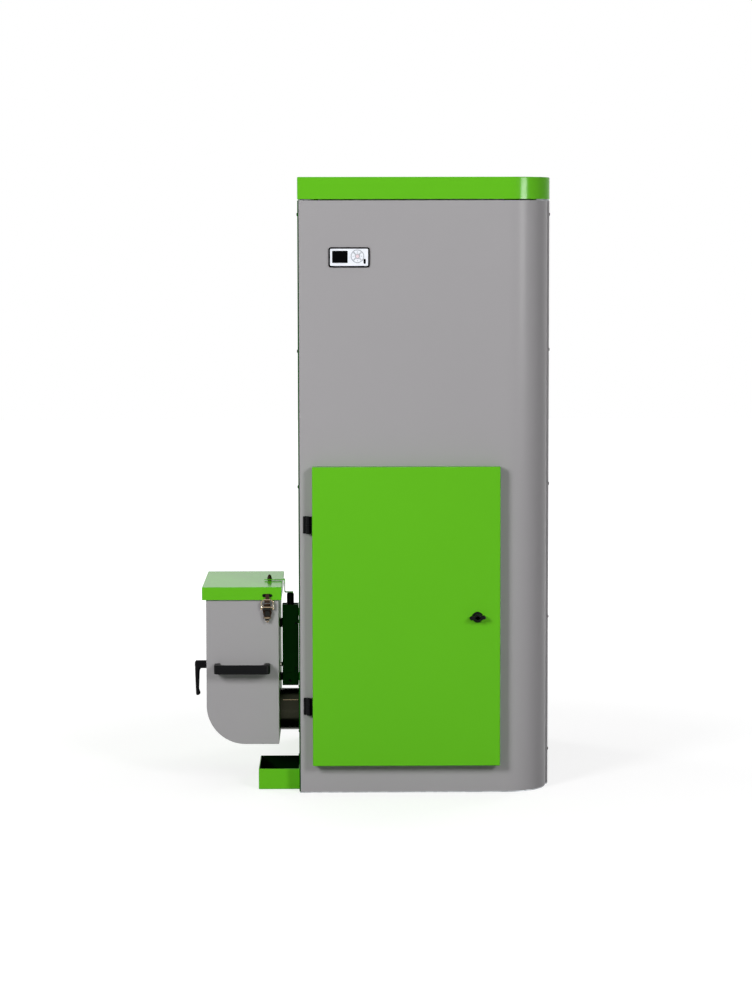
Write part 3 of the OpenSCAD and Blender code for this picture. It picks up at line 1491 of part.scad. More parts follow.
module bin_lid() color(green_paint) difference() {
    union() {
        difference() {
            block(lid_x, lid_y, lid_z);
            block(shrink(lid_x, bin_t), shrink(lid_y, bin_t), [lid_z[0] - over, lid_z[1] - bin_t]);
        }
        for (x = lid_hinge_xs) {
            xs = [x - lid_knuckle / 2, x + lid_knuckle / 2];
            rod_x(xs, lid_axis[0], lid_axis[1], lid_barrel_r);
            block(
                xs, [lid_y[1] - over, lid_y[1] + lid_leaf_t],
                [lid_axis[1] + lid_axis_drop, lid_axis[1] + lid_leaf_h]
            );
            block(
                xs, [lid_y[1], lid_axis[0]],
                [lid_axis[1] + lid_pin_r, lid_axis[1] + lid_barrel_r + lid_leaf_t]
            );
        }
    }
    for (x = lid_hinge_xs)
        rod_x(
            grow([x - lid_knuckle / 2, x + lid_knuckle / 2], over),
            lid_axis[0], lid_axis[1], lid_pin_r + running
        );
}

// Strip bent twice, held by a screw on the lid, whose foot stands over the plunger
module lid_tab() color(green_paint) {
    z = lid_z[1] + tab_rise;
    ys = [clamp_y - tab_w / 2, clamp_y + tab_w / 2];
    foot_z = bracket_z[1] + plunger_out + slip;
    screw_x = lid_x[1] - tab_screw_set;
    block([lid_x[1] - tab_start, tab_drop_x], ys, [z, z + tab_t]);
    block([tab_drop_x - tab_t, tab_drop_x], ys, [foot_z, z + tab_t]);
    block([tab_drop_x - tab_t, tab_drop_x + tab_foot - tab_t], ys, [foot_z, foot_z + tab_t]);
    rod_z(screw_x, clamp_y, [lid_z[1], z + over], tab_screw_r);
    rod_z(screw_x, clamp_y, [z, z + tab_t + tab_screw_h], tab_screw_r);
}

module bin_handle() color(black_plastic) {
    ys = [bin_y[0] - handle_out, bin_y[0]];
    for (x0 = [handle_x[0], handle_x[1] - handle_foot])
        plate_y(ys)
            round_area([x0, x0 + handle_foot], [handle_z - handle_h / 2, handle_z + handle_h / 2], foot_r);
    rod_x(shrink(handle_x, handle_foot / 2), ys[0] + grip_r, handle_z - grip_drop, grip_r);
}

module bin_buffers() color(dark_rubber)
    for (zs = [upper_buffer, lower_buffer])
        block([bin_x[1], bracket_x[0] - slip], [clamp_y - buffer_d / 2, clamp_y + buffer_d / 2], zs);

// Balls that the lever's arm is drawn through, each as [x, z, radius]
arm_balls = [
    [bin_x[0] - hub_len + hub_tip_r, clamp_z, hub_tip_r],
    [bin_x[0] - hub_len + hub_tip_r - arm_cant / 2, clamp_z - lever_len / 2, arm_r],
    [bin_x[0] - hub_len + hub_tip_r - arm_cant / 2, clamp_z - lever_len + arm_tip_r, arm_tip_r]
];
module arm_ball(ball) translate([ball[0], clamp_y, ball[1]]) sphere(r = ball[2], $fn = 24);

// Adjustable clamping lever: hub on the rod, arm hanging down
module clamp_lever() color(black_plastic) difference() {
    union() {
        rod_x([bin_x[0] - hub_len, bin_x[0] - slip], clamp_y, clamp_z, hub_r);
        for (i = [0:1]) hull() {
            arm_ball(arm_balls[i]);
            arm_ball(arm_balls[i + 1]);
        }
    }
    rod_x([bin_x[0] - hub_len + hub_tip_r, bin_x[0]], clamp_y, clamp_z, clamp_r + running);
}

module clamp_rod() color(bare_steel)
    rod_x([bin_x[0] - hub_len + hub_tip_r + slip, bin_x[1] + clamp_tip], clamp_y, clamp_z, clamp_r);

latch_y = bin_y[0] - latch_out;

module latch_base() color(bare_steel) {
    block(
        [latch_x - latch_base_w / 2, latch_x + latch_base_w / 2],
        [bin_y[0] - latch_base_t, bin_y[0]],
        [latch_z - latch_base_down, latch_z + latch_base_up]
    );
    for (side = [-1, 1]) {
        x = latch_x + side * ear_x;
        plate_x([x - ear_t / 2, x + ear_t / 2]) {
            translate([latch_y, latch_z]) circle(r = ear_r);
            area([latch_y, bin_y[0] - latch_base_t + over], [latch_z - ear_r, latch_z + ear_r]);
        }
    }
    rod_x([latch_x - ear_x - ear_t, latch_x + ear_x + ear_t], latch_y, latch_z, latch_pin_r);
}

// Lever between the ears, with the ring at its lower end and the claw's pin
module latch_lever() color(bare_steel) difference() {
    union() {
        block(
            [latch_x - lever_w / 2, latch_x + lever_w / 2],
            [latch_y - lever_t / 2, latch_y + lever_t / 2],
            [latch_z - lever_down + ring_r, latch_z + lever_up]
        );
        plate_y([latch_y - lever_t / 2, latch_y + lever_t / 2])
            translate([latch_x, latch_z - lever_down + ring_r])
            circle(r = ring_r);
        rod_x(
            grow([latch_x, latch_x], claw_x + latch_pin_r),
            latch_y, latch_z - link_rise, latch_pin_r
        );
    }
    rod_x([latch_x - lever_w, latch_x + lever_w], latch_y, latch_z, latch_pin_r + running);
    rod_y(latch_x, [latch_y - lever_t, latch_y + lever_t], latch_z - lever_down + ring_r, ring_r / 2);
}

// Claw on the lever's pin: two sprung wires and the plate in front of the keeper
module latch_claw() color(bare_steel) {
    low = latch_z - link_rise;
    plate_ys = [keeper_front - claw_gap - claw_plate_t, keeper_front - claw_gap];
    for (side = [-1, 1]) {
        x = latch_x + side * claw_x;
        difference() {
            union() {
                rod_x([x - claw_wire_r, x + claw_wire_r], latch_y, low, latch_pin_r * 2);
                rod_z(x, latch_y, [low, low + claw_neck], claw_wire_r);
            }
            rod_x([x - claw_wire_r - over, x + claw_wire_r + over], latch_y, low, latch_pin_r + running);
        }
        rod_z(x, latch_y, [low + spring_low - spring_seat_t, low + spring_low], spring_r + spring_wire_r);
        translate([x, latch_y, low + spring_low]) coil(spring_high - spring_low);
    }
    block(
        [latch_x - claw_x - claw_wire_r, latch_x + claw_x + claw_wire_r],
        [plate_ys[0], latch_y + claw_wire_r],
        [low + claw_neck - claw_wire_r, low + claw_neck + claw_wire_r]
    );
    block(grow([latch_x, latch_x], claw_plate_w / 2), plate_ys, [low + claw_neck, low + claw_top]);
}
keeper_front = lid_y[0] - keeper_t - keeper_lip;

module latch_keeper() color(black_plastic) {
    xs = [latch_x - keeper_w / 2, latch_x + keeper_w / 2];
    zs = [lid_z[0] + keeper_rise, lid_z[0] + keeper_rise + keeper_h];
    block(xs, [lid_y[0] - keeper_t, lid_y[0]], zs);
    block(
        shrink(xs, keeper_w / 4), [keeper_front, lid_y[0]],
        [zs[0] + keeper_h / 2, zs[0] + keeper_h / 2 + keeper_lip_t]
    );
    for (x = shrink(xs, keeper_screw_r))
        rod_y(x, [lid_y[0] - keeper_t - keeper_screw_h, lid_y[0]], zs[1] - keeper_screw_r, keeper_screw_r);
}

base_pan();
frame_posts();
front_panel();
left_side_panel();
right_side_panel();
rear_panel();
top_cap();
side_screws();
door_hinges();
display_bezel();
display_face();
display_windows();
control_board();
hopper();
feed_tube();
feed_gearmotor();
boiler_vessel();
cleaning_cover();
burner_pot();
smoke_duct();
fan_housing();
fan_motor();
flue_collar();
air_pipe();
water_pipes();
circulation_pump();
mains_inlet();
ash_tube();
ash_gearmotor();
bin_bracket();
floor_tray();
door_panel();
door_liner();
door_hinge_arms();
door_knob();
latch_cam();
firebox_door();
firebox_handle();
hopper_lid();
hopper_lid_seal();
bin_shell();
bin_handle();
bin_buffers();
latch_base();
bin_lid();
lid_tab();
latch_keeper();
latch_lever();
latch_claw();
clamp_lever();
clamp_rod();
switch_plunger();
key_up();
key_right();
key_down();
key_left();
key_centre();
feed_auger();
ash_auger();
fan_impeller();
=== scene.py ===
"""A free-standing pellet boiler with its ash bin, dressed over its fixed frame."""

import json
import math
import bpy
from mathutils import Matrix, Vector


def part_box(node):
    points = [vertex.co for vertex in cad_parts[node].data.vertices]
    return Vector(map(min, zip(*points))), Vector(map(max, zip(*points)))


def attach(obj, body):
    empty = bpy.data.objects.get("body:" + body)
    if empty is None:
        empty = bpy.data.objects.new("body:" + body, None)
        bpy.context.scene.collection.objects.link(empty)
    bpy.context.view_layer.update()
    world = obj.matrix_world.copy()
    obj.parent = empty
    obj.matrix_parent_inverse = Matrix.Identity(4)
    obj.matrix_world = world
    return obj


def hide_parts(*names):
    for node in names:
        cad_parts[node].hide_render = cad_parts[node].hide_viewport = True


bl_info = {
    "name": "Pellet boiler",
    "version": (1, 0, 0),
    "blender": (4, 5, 0),
    "location": "3D View > Sidebar > Boiler",
    "description": "Builds the panels, door, display, ash bin and fittings of a pellet boiler",
    "category": "Object",
}

from math import cos, pi, radians, sin

import bmesh
import bpy
from bpy.props import FloatProperty, FloatVectorProperty, PointerProperty
from mathutils import Matrix, Vector
from mathutils.geometry import tessellate_polygon

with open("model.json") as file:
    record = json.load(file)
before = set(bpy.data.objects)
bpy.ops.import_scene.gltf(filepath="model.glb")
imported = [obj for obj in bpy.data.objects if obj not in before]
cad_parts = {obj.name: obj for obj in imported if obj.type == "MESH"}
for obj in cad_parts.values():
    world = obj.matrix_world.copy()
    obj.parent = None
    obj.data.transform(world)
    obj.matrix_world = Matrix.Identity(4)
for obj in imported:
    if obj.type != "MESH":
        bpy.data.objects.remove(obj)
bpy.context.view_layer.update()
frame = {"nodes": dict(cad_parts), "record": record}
record = frame["record"]
BODIES = {node: body for body, nodes in record["behaviour"]["bodies"].items() for node in nodes}

MM = 0.001

# Places that several pieces share, in millimetres
SIDE = 303  # The cabinet's sides, from its middle
TUBE_Y, TUBE_Z = -191.5, 173.4  # Axis of the ash tube
CLAMP_Z = 285.0  # The clamp rod, straight over the ash tube
PLUNGER_X = -326.6
BIN_X, BIN_Y, BIN_Z = (-528.6, -352.6), (-325.5, 5.5), (108, 491)
BIN_HINGES_X = (-499.7, -384.2)
BIN_PIN = (17.5, 457.5)  # The pin of the bin lid's hinges, along y and z
TAB_X = -377.7  # The nut on the lid's tab
HOPPER_PIN_Y, HOPPER_PIN_DROP = 333.5, 5
HUB_X = 124.5  # The knob
DOOR_KNUCKLE = 41.5  # Height of a door hinge
SPINDLE_HOLE = 4.05


def spans(node):
    """Low and high of a node along x, y and z, in millimetres."""
    low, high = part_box(node)
    return [(low[i] / MM, high[i] / MM) for i in range(3)]


def middle(span):
    return (span[0] + span[1]) / 2


def shrink(span, by):
    return (span[0] + by, span[1] - by)


def about(place, reach):
    return (place - reach, place + reach)


def linear(red, green, blue):
    """A colour read off a screen, 0 to 255, as Blender's linear values."""
    return tuple(
        c / 255 / 12.92 if c <= 10.3 else ((c / 255 + 0.055) / 1.055) ** 2.4
        for c in (red, green, blue)
    )


# Outlines


def turned(points, centre, angle):
    """Points about the origin, turned by an angle and moved to a centre."""
    c, s = cos(angle), sin(angle)
    return [(centre[0] + u * c - v * s, centre[1] + u * s + v * c) for u, v in points]


def arc(centre, radius, start, turn, steps):
    """Points along an arc, with both of its ends."""
    angles = (start + turn * k / steps for k in range(steps + 1))
    return [(centre[0] + radius * cos(a), centre[1] + radius * sin(a)) for a in angles]


def disc(centre, radius, steps=32):
    return arc(centre, radius, 0, 2 * pi, steps)[:-1]


def rounded(corners, radii, steps=None, closed=True):
    """The line through these corners with each one turned on its own radius."""
    line = []
    count = len(corners)
    for i, corner in enumerate(corners):
        radius = radii[i] if isinstance(radii, (list, tuple)) else radii
        here = Vector(corner)
        if radius <= 0 or (not closed and i in (0, count - 1)):
            line.append(tuple(here))
            continue
        back = (Vector(corners[i - 1]) - here).normalized()
        ahead = (Vector(corners[(i + 1) % count]) - here).normalized()
        half = back.angle(ahead) / 2
        centre = here + (back + ahead).normalized() * radius / sin(half)
        start = here + back * radius / math.tan(half) - centre
        way = -1 if back.x * ahead.y - back.y * ahead.x > 0 else 1
        parts = steps or max(3, round(2.4 * math.sqrt(radius)))
        for k in range(parts + 1):
            line += turned([start], centre, way * (pi - 2 * half) * k / parts)
    return line


def oblong(us, vs, radius=0.0, steps=None):
    """A rectangle with round corners."""
    corners = [(us[0], vs[0]), (us[1], vs[0]), (us[1], vs[1]), (us[0], vs[1])]
    return rounded(corners, radius, steps)


def pill(centre, length, width, tilt=0.0, steps=10):
    """A bar with round ends, tilted by some degrees."""
    shape = oblong(about(0, length / 2), about(0, width / 2), width / 2 - 0.001, steps)
    return turned(shape, centre, radians(tilt))


def lefts(line, closed=True):
    """For each point, the move that takes both edges beside it one to the left."""
    moves = []
    for i, here in enumerate(line):
        before = line[i - 1] if closed or i else here
        after = line[(i + 1) % len(line)] if closed or i < len(line) - 1 else here
        a, b = Vector(here) - Vector(before), Vector(after) - Vector(here)
        a, b = (a if a.length else b).normalized(), (b if b.length else a).normalized()
        n1, n2 = Vector((-a.y, a.x)), Vector((-b.y, b.x))
        moves.append((n1 + n2) / max(1 + n1.dot(n2), 0.2))
    return moves


def inset(loop, by):
    """The loop moved inwards by a distance, or outwards where it is negative."""
    ends = list(zip(loop, loop[1:] + loop[:1]))
    side = 1 if sum(a[0] * b[1] - b[0] * a[1] for a, b in ends) > 0 else -1
    return [tuple(Vector(p) + move * by * side) for p, move in zip(loop, lefts(loop))]


def strip(line, sheet):
    """Outline of a strip of sheet whose outer face follows a line, its body on the right."""
    back = [tuple(Vector(p) - move * sheet) for p, move in zip(line, lefts(line, False))]
    return line + back[::-1]


# Solids, in millimetres

PLACES = {
    "x": lambda u, v, w: (w, u, v),
    "y": lambda u, v, w: (u, w, v),
    "z": lambda u, v, w: (u, v, w),
}


def ring_at(loop, w, axis):
    return [PLACES[axis](u, v, w) for u, v in loop]


def skin(bm, rings, caps=(True, True), closed=True, paint=0):
    """A skin over rings that have the same number of points."""
    made = [[bm.verts.new(point) for point in ring] for ring in rings]
    count = len(made[0])
    faces = []
    for low, high in zip(made, made[1:]):
        for i in range(count if closed else count - 1):
            j = (i + 1) % count
            faces.append(bm.faces.new((low[i], low[j], high[j], high[i])))
    if caps[0]:
        faces.append(bm.faces.new(list(reversed(made[0]))))
    if caps[1]:
        faces.append(bm.faces.new(made[-1]))
    for face in faces:
        face.material_index = paint
    return made


def pierced(bm, loops, paint=0):
    """A flat face over an outline of vertices with other loops as its holes."""
    flat = [v for loop in loops for v in loop]
    for triangle in tessellate_polygon([[v.co for v in loop] for loop in loops]):
        bm.faces.new([flat[i] for i in triangle]).material_index = paint


def edge_steps(radius, steps=3):
    """How far in and how far down each ring of a rounded edge lies."""
    angles = (pi / 2 * k / steps for k in range(steps + 1))
    return [(radius * (1 - sin(a)), radius * (1 - cos(a))) for a in angles]


def eased(span, edge, steps=3):
    """The rings from one end to the other with both rims rounded: where and how far in."""
    curve = edge_steps(edge, steps) if edge else [(0, 0)]
    rings = [(span[0] + down, into) for into, down in curve]
    return rings + [(span[1] - down, into) for into, down in reversed(curve)]


def prism(bm, outline, span, axis, edge=0.0, holes=(), paint=0, steps=3, concave=False):
    """An outline given a thickness, with its rims rounded over and holes through it."""
    walls = []
    plain = not holes and not concave
    for loop, sign in [(outline, 1)] + [(hole, -1) for hole in holes]:
        rings = [ring_at(inset(loop, i * sign), w, axis) for w, i in eased(span, edge, steps)]
        walls.append(skin(bm, rings, (plain, plain), paint=paint))
    if not plain:
        pierced(bm, [wall[0] for wall in walls], paint)
        pierced(bm, [wall[-1] for wall in walls], paint)


def block(bm, xs, ys, zs, edge=0.4, axis="z", corner=None, paint=0):
    """A rounded box, drawn as an outline across one axis."""
    us, vs, span = {"x": (ys, zs, xs), "y": (xs, zs, ys), "z": (xs, ys, zs)}[axis]
    corner = edge + 0.05 if corner is None else corner
    prism(bm, oblong(us, vs, corner, 4), span, axis, edge, paint=paint, steps=2)


def pan(bm, outline, base, top, wall, edge, axis, holes=()):
    """A folded tray: sides up from its base rim, and one closed face at its top."""
    way, lip = (1 if top > base else -1), 0.3
    rings = [(base + way * lip, 0)]
    rings += [(top - way * down, into) for into, down in reversed(edge_steps(edge, 5))]
    turn = edge_steps(max(edge - wall, 0.3))
    back = [(top - way * (wall + down), wall + into) for into, down in turn]
    back += [(base + way * lip, wall), (base, wall - lip), (base, lip), (base + way * lip, 0)]
    plain = not holes
    outside = skin(bm, [ring_at(inset(outline, i), w, axis) for w, i in rings], (False, plain))
    inside = skin(bm, [ring_at(inset(outline, i), w, axis) for w, i in back], (plain, False))
    if holes:
        levels = (top, top - way * wall)
        cuts = [[ring_at(hole, w, axis) for w in levels] for hole in holes]
        walls = [skin(bm, cut, (False, False)) for cut in cuts]
        pierced(bm, [outside[-1]] + [wall[0] for wall in walls])
        pierced(bm, [inside[0]] + [wall[-1] for wall in walls])


def folded(bm, line, span, sheet, cuts=()):
    """Sheet metal bent along a line in plan, standing over a span of heights.

    The outside is on the right of the line. Each cut is a window given by its
    spans along x and z, and the line has a point at each of its sides."""
    heights = sorted({*span, *(z for cut in cuts for z in cut[1])})
    back = [tuple(Vector(p) + move * sheet) for p, move in zip(line, lefts(line, False))]
    front, rear = [
        [[bm.verts.new((p[0], p[1], z)) for z in heights] for p in side] for side in (line, back)
    ]

    def is_open(i, k):
        if not (0 <= i < len(line) - 1 and 0 <= k < len(heights) - 1):
            return True
        x = (line[i][0] + line[i + 1][0]) / 2
        z = (heights[k] + heights[k + 1]) / 2
        flat = abs(line[i][1] - line[i + 1][1]) < 0.01
        return flat and any(c[0][0] < x < c[0][1] and c[1][0] < z < c[1][1] for c in cuts)

    for i in range(len(line) - 1):
        for k in range(len(heights) - 1):
            if is_open(i, k):
                continue
            j, m = i + 1, k + 1
            bm.faces.new((front[i][k], front[j][k], front[j][m], front[i][m]))
            bm.faces.new((rear[i][m], rear[j][m], rear[j][k], rear[i][k]))
            if is_open(i - 1, k):
                bm.faces.new((front[i][k], front[i][m], rear[i][m], rear[i][k]))
            if is_open(j, k):
                bm.faces.new((front[j][m], front[j][k], rear[j][k], rear[j][m]))
            if is_open(i, k - 1):
                bm.faces.new((front[j][k], front[i][k], rear[i][k], rear[j][k]))
            if is_open(i, m):
                bm.faces.new((front[i][m], front[j][m], rear[j][m], rear[i][m]))


def lathe(bm, profile, centre, axis, steps=40, paint=0, ring=False):
    """A turned piece from (radius, place along the axis) pairs about a centre."""
    profile = profile + (profile[:1] if ring else [])
    rings = [ring_at(disc(centre, max(radius, 0.01), steps), w, axis) for radius, w in profile]
    skin(bm, rings, (not ring, not ring), paint=paint)


def rod(bm, span, centre, radius, axis, edge=0.4, bore=0.0, steps=40, paint=0):
    """A round bar with eased ends, or a tube where it has a bore."""
    edges = [0, edge, edge, 0]
    if bore:
        edges = min(edge, (radius - bore) * 0.45)
    low, high = span
    corners = [(bore, low), (radius, low), (radius, high), (bore, high)]
    lathe(bm, rounded(corners, edges, 3), centre, axis, steps, paint, ring=bool(bore))


def bar(bm, path, radius, steps=14, paint=0, hint=(0, 0, 1)):
    """A round bar drawn along a path."""
    points = [Vector(p) for p in path]
    side = Vector(hint)
    rings = []
    for i, point in enumerate(points):
        ahead = (points[min(i + 1, len(points) - 1)] - points[max(i - 1, 0)]).normalized()
        side = (side - ahead * side.dot(ahead)).normalized()
        over = ahead.cross(side)
        rings.append([tuple(point + side * u + over * v) for u, v in disc((0, 0), radius, steps)])
    skin(bm, rings, paint=paint)


def screw(bm, at, axis, way, radius, height, socket=0.5, paint=0):
    """A domed screw head with a six-sided socket, its seat at w and its crown way from it."""
    u, v, w = at
    points = 24
    rings = [
        ring_at(disc((u, v), radius * share, points), w + way * rise * height, axis)
        for share, rise in ((1, 0), (1, 0.25), (0.94, 0.55), (0.8, 0.82), (0.62, 1))
    ]
    hexagon = []
    for a in (2 * pi * k / points for k in range(points)):
        reach = radius * 0.88 * socket / cos(a % (pi / 3) - pi / 6)
        hexagon.append((u + reach * cos(a), v + reach * sin(a)))
    rings += [ring_at(hexagon, w + way * rise * height, axis) for rise in (1, 0.45)]
    skin(bm, rings, paint=paint)


def knuckles(bm, x, pin, reach, radius, edge, leaf_y, leaf_z):
    """The fixed half of a pin hinge: a knuckle on a leaf at each side, and the pin."""
    near, far = reach
    for span in ((x - far, x - near), (x + near, x + far)):
        rod(bm, span, pin, radius, "x", edge)
        block(bm, span, leaf_y, leaf_z, 0.3)
    rod(bm, about(x, far - 0.3), pin, 2.5, "x", paint=1)


def paint_within(bm, xs, ys, zs):
    """Gives the second finish to the faces whose middles lie in a box."""
    for face in bm.faces:
        at = face.calc_center_median()
        if all(low < place < high for place, (low, high) in zip(at, (xs, ys, zs))):
            face.material_index = 1


# Pieces


def to_metres(bm):
    """Turns the faces outwards and takes the mesh from millimetres to metres."""
    bmesh.ops.recalc_face_normals(bm, faces=bm.faces)
    for vert in bm.verts:
        vert.co *= MM


def put(bm, name):
    """An object in the scene with this mesh."""
    mesh = bpy.data.meshes.new(name)
    bm.to_mesh(mesh)
    bm.free()
    made = bpy.data.objects.new(name, mesh)
    bpy.context.scene.collection.objects.link(made)
    return made


def piece(bm, name, *finishes, body=None, slot=None):
    """Ends a mesh as a finished piece, which stands for the node of its name, if there is one."""
    bmesh.ops.remove_doubles(bm, verts=bm.verts, dist=1e-4)
    to_metres(bm)
    for face in bm.faces:
        face.smooth = True
    for edge in bm.edges:
        if len(edge.link_faces) == 2:
            edge.smooth = edge.calc_face_angle(0) < radians(38)
    made = put(bm, name)
    for finish in finishes:
        made.data.materials.append(FINISHES[finish])
    made.modifiers.new("Even shading", "WEIGHTED_NORMAL").keep_sharp = True
    node = name.lower()
    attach(made, body or BODIES[node])
    if node in frame["nodes"]:
        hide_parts(node)
    return made


def carve(made, *cutters):
    """Takes closed solids, drawn by functions, out of a finished piece."""
    kept = list(made.modifiers)
    for draw in cutters:
        bm = bmesh.new()
        draw(bm)
        to_metres(bm)
        tool = put(bm, "Cutter")
        cut = made.modifiers.new("Opening", "BOOLEAN")
        cut.operation, cut.solver, cut.object = "DIFFERENCE", "EXACT", tool
        made.modifiers.move(len(made.modifiers) - 1, 0)
        for other in kept:
            other.show_viewport = False
        graph = bpy.context.evaluated_depsgraph_get()
        made.data = bpy.data.meshes.new_from_object(made.evaluated_get(graph))
        for other in kept:
            other.show_viewport = True
        made.modifiers.remove(cut)
        bpy.data.objects.remove(tool)


# Finishes

FINISHES = {}


class Nodes:
    """Shader nodes in the making, in one tree."""

    def __init__(self, tree):
        self.tree = tree

    def add(self, kind, inputs, **settings):
        made = self.tree.nodes.new("ShaderNode" + kind)
        for key, value in settings.items():
            setattr(made, key, value)
        for key, value in inputs.items():
            if isinstance(value, bpy.types.NodeSocket):
                self.tree.links.new(value, made.inputs[key])
            else:
                made.inputs[key].default_value = value
        return made

    def level(self, value, low, high, start=0.0, stop=1.0):
        return self.add("MapRange", {0: value, 1: start, 2: stop, 3: low, 4: high}).outputs[0]

    def seen(self, unseen, seen=1.0):
        """One strength for the rays that carry a view, straight, mirrored or through glass."""
        rays = self.add("LightPath", {}).outputs
        total = rays["Is Camera Ray"]
        for kind in ("Is Glossy Ray", "Is Transmission Ray"):
            total = self.add("Math", {0: total, 1: rays[kind]}, operation="ADD").outputs[0]
        return self.level(total, unseen, seen)


class Finish(Nodes):
    """A procedural finish: one shader and the nodes that feed it."""

    def __init__(self, name, **sockets):
        self.material = bpy.data.materials.new(name)
        self.material.use_nodes = True
        super().__init__(self.material.node_tree)
        self.shader = self.tree.nodes["Principled BSDF"]
        self.place = self.tree.nodes.new("ShaderNodeTexCoord").outputs["Object"]
        self.normal = None
        for socket, value in sockets.items():
            self.shader.inputs[socket.replace("_", " ")].default_value = value
        FINISHES[name] = self.material

    def noise(self, scale, detail=2.0, rough=0.5, across=None):
        place = self.place
        if across:
            place = self.add("Mapping", {"Vector": place, "Scale": across}).outputs["Vector"]
        inputs = {"Vector": place, "Scale": scale, "Detail": detail, "Roughness": rough}
        return self.add("TexNoise", inputs).outputs["Fac"]

    def between(self, share, first, second):
        made = self.add("Mix", {0: share}, data_type="RGBA")
        for index, colour in ((6, first), (7, second)):
            if isinstance(colour, bpy.types.NodeSocket):
                self.tree.links.new(colour, made.inputs[index])
            else:
                made.inputs[index].default_value = (*colour, 1)
        return made.outputs[2]

    def colour(self, value):
        self.tree.links.new(value, self.shader.inputs["Base Color"])

    def rough(self, value):
        self.tree.links.new(value, self.shader.inputs["Roughness"])

    def relief(self, height, distance, strength=1.0):
        inputs = {"Height": height, "Distance": distance, "Strength": strength}
        if self.normal:
            inputs["Normal"] = self.normal
        self.normal = self.add("Bump", inputs).outputs["Normal"]
        self.tree.links.new(self.normal, self.shader.inputs["Normal"])


def tone(colour, share):
    return tuple(min(c * share, 1.0) for c in colour)


def powder_paint(name, colour, roughness, gloss=0.045):
    """Baked powder paint: slow drift of shade, fine speck and orange peel."""
    f = Finish(name, IOR=1.5, Specular_IOR_Level=gloss)
    drift = f.between(f.noise(2.4, 2), tone(colour, 0.97), tone(colour, 1.03))
    speck = f.level(f.noise(1500, 1), 0.0, 0.16, 0.35, 0.75)
    f.colour(f.between(speck, drift, tone(colour, 0.9)))
    f.rough(f.level(f.noise(30, 3), roughness - 0.02, roughness + 0.03))
    f.relief(f.noise(330, 2), 0.0001, 0.03)
    f.relief(f.noise(2400, 1), 0.00003, 0.05)


def moulded_plastic(name, colour, roughness, grain=0.00012, gloss=0.1):
    """Moulded plastic with a fine eroded grain and a faint drift of gloss."""
    f = Finish(name, IOR=1.46, Specular_IOR_Level=gloss)
    f.colour(f.between(f.noise(60, 3), tone(colour, 0.88), tone(colour, 1.14)))
    f.rough(f.level(f.noise(45, 3), roughness - 0.06, roughness + 0.08))
    f.relief(f.noise(1600, 3, 0.7), grain, 0.35)


def rolled_steel(name, colour, roughness, along=(1, 1, 1), depth=0.00004):
    """Bright or dark steel with drawing lines along one way and faint clouding."""
    f = Finish(name, Metallic=1.0)
    lines = f.noise(700, 3, 0.6, across=along)
    base = f.between(f.noise(14, 4), tone(colour, 0.86), tone(colour, 1.08))
    f.colour(f.between(f.level(lines, 0.0, 0.35), base, tone(colour, 0.7)))
    f.rough(f.level(lines, roughness - 0.06, roughness + 0.1))
    f.relief(lines, depth, 0.5)


def raw_iron(name, metallic, patches, colours, gloss, grain):
    """Unpainted iron: patches of two shades, with a rough grain."""
    f = Finish(name, Metallic=metallic, IOR=1.5)
    f.colour(f.between(f.noise(*patches), *(linear(*colour) for colour in colours)))
    f.rough(f.level(f.noise(*gloss[:2]), *gloss[2:]))
    f.relief(f.noise(*grain[:3]), *grain[3:])


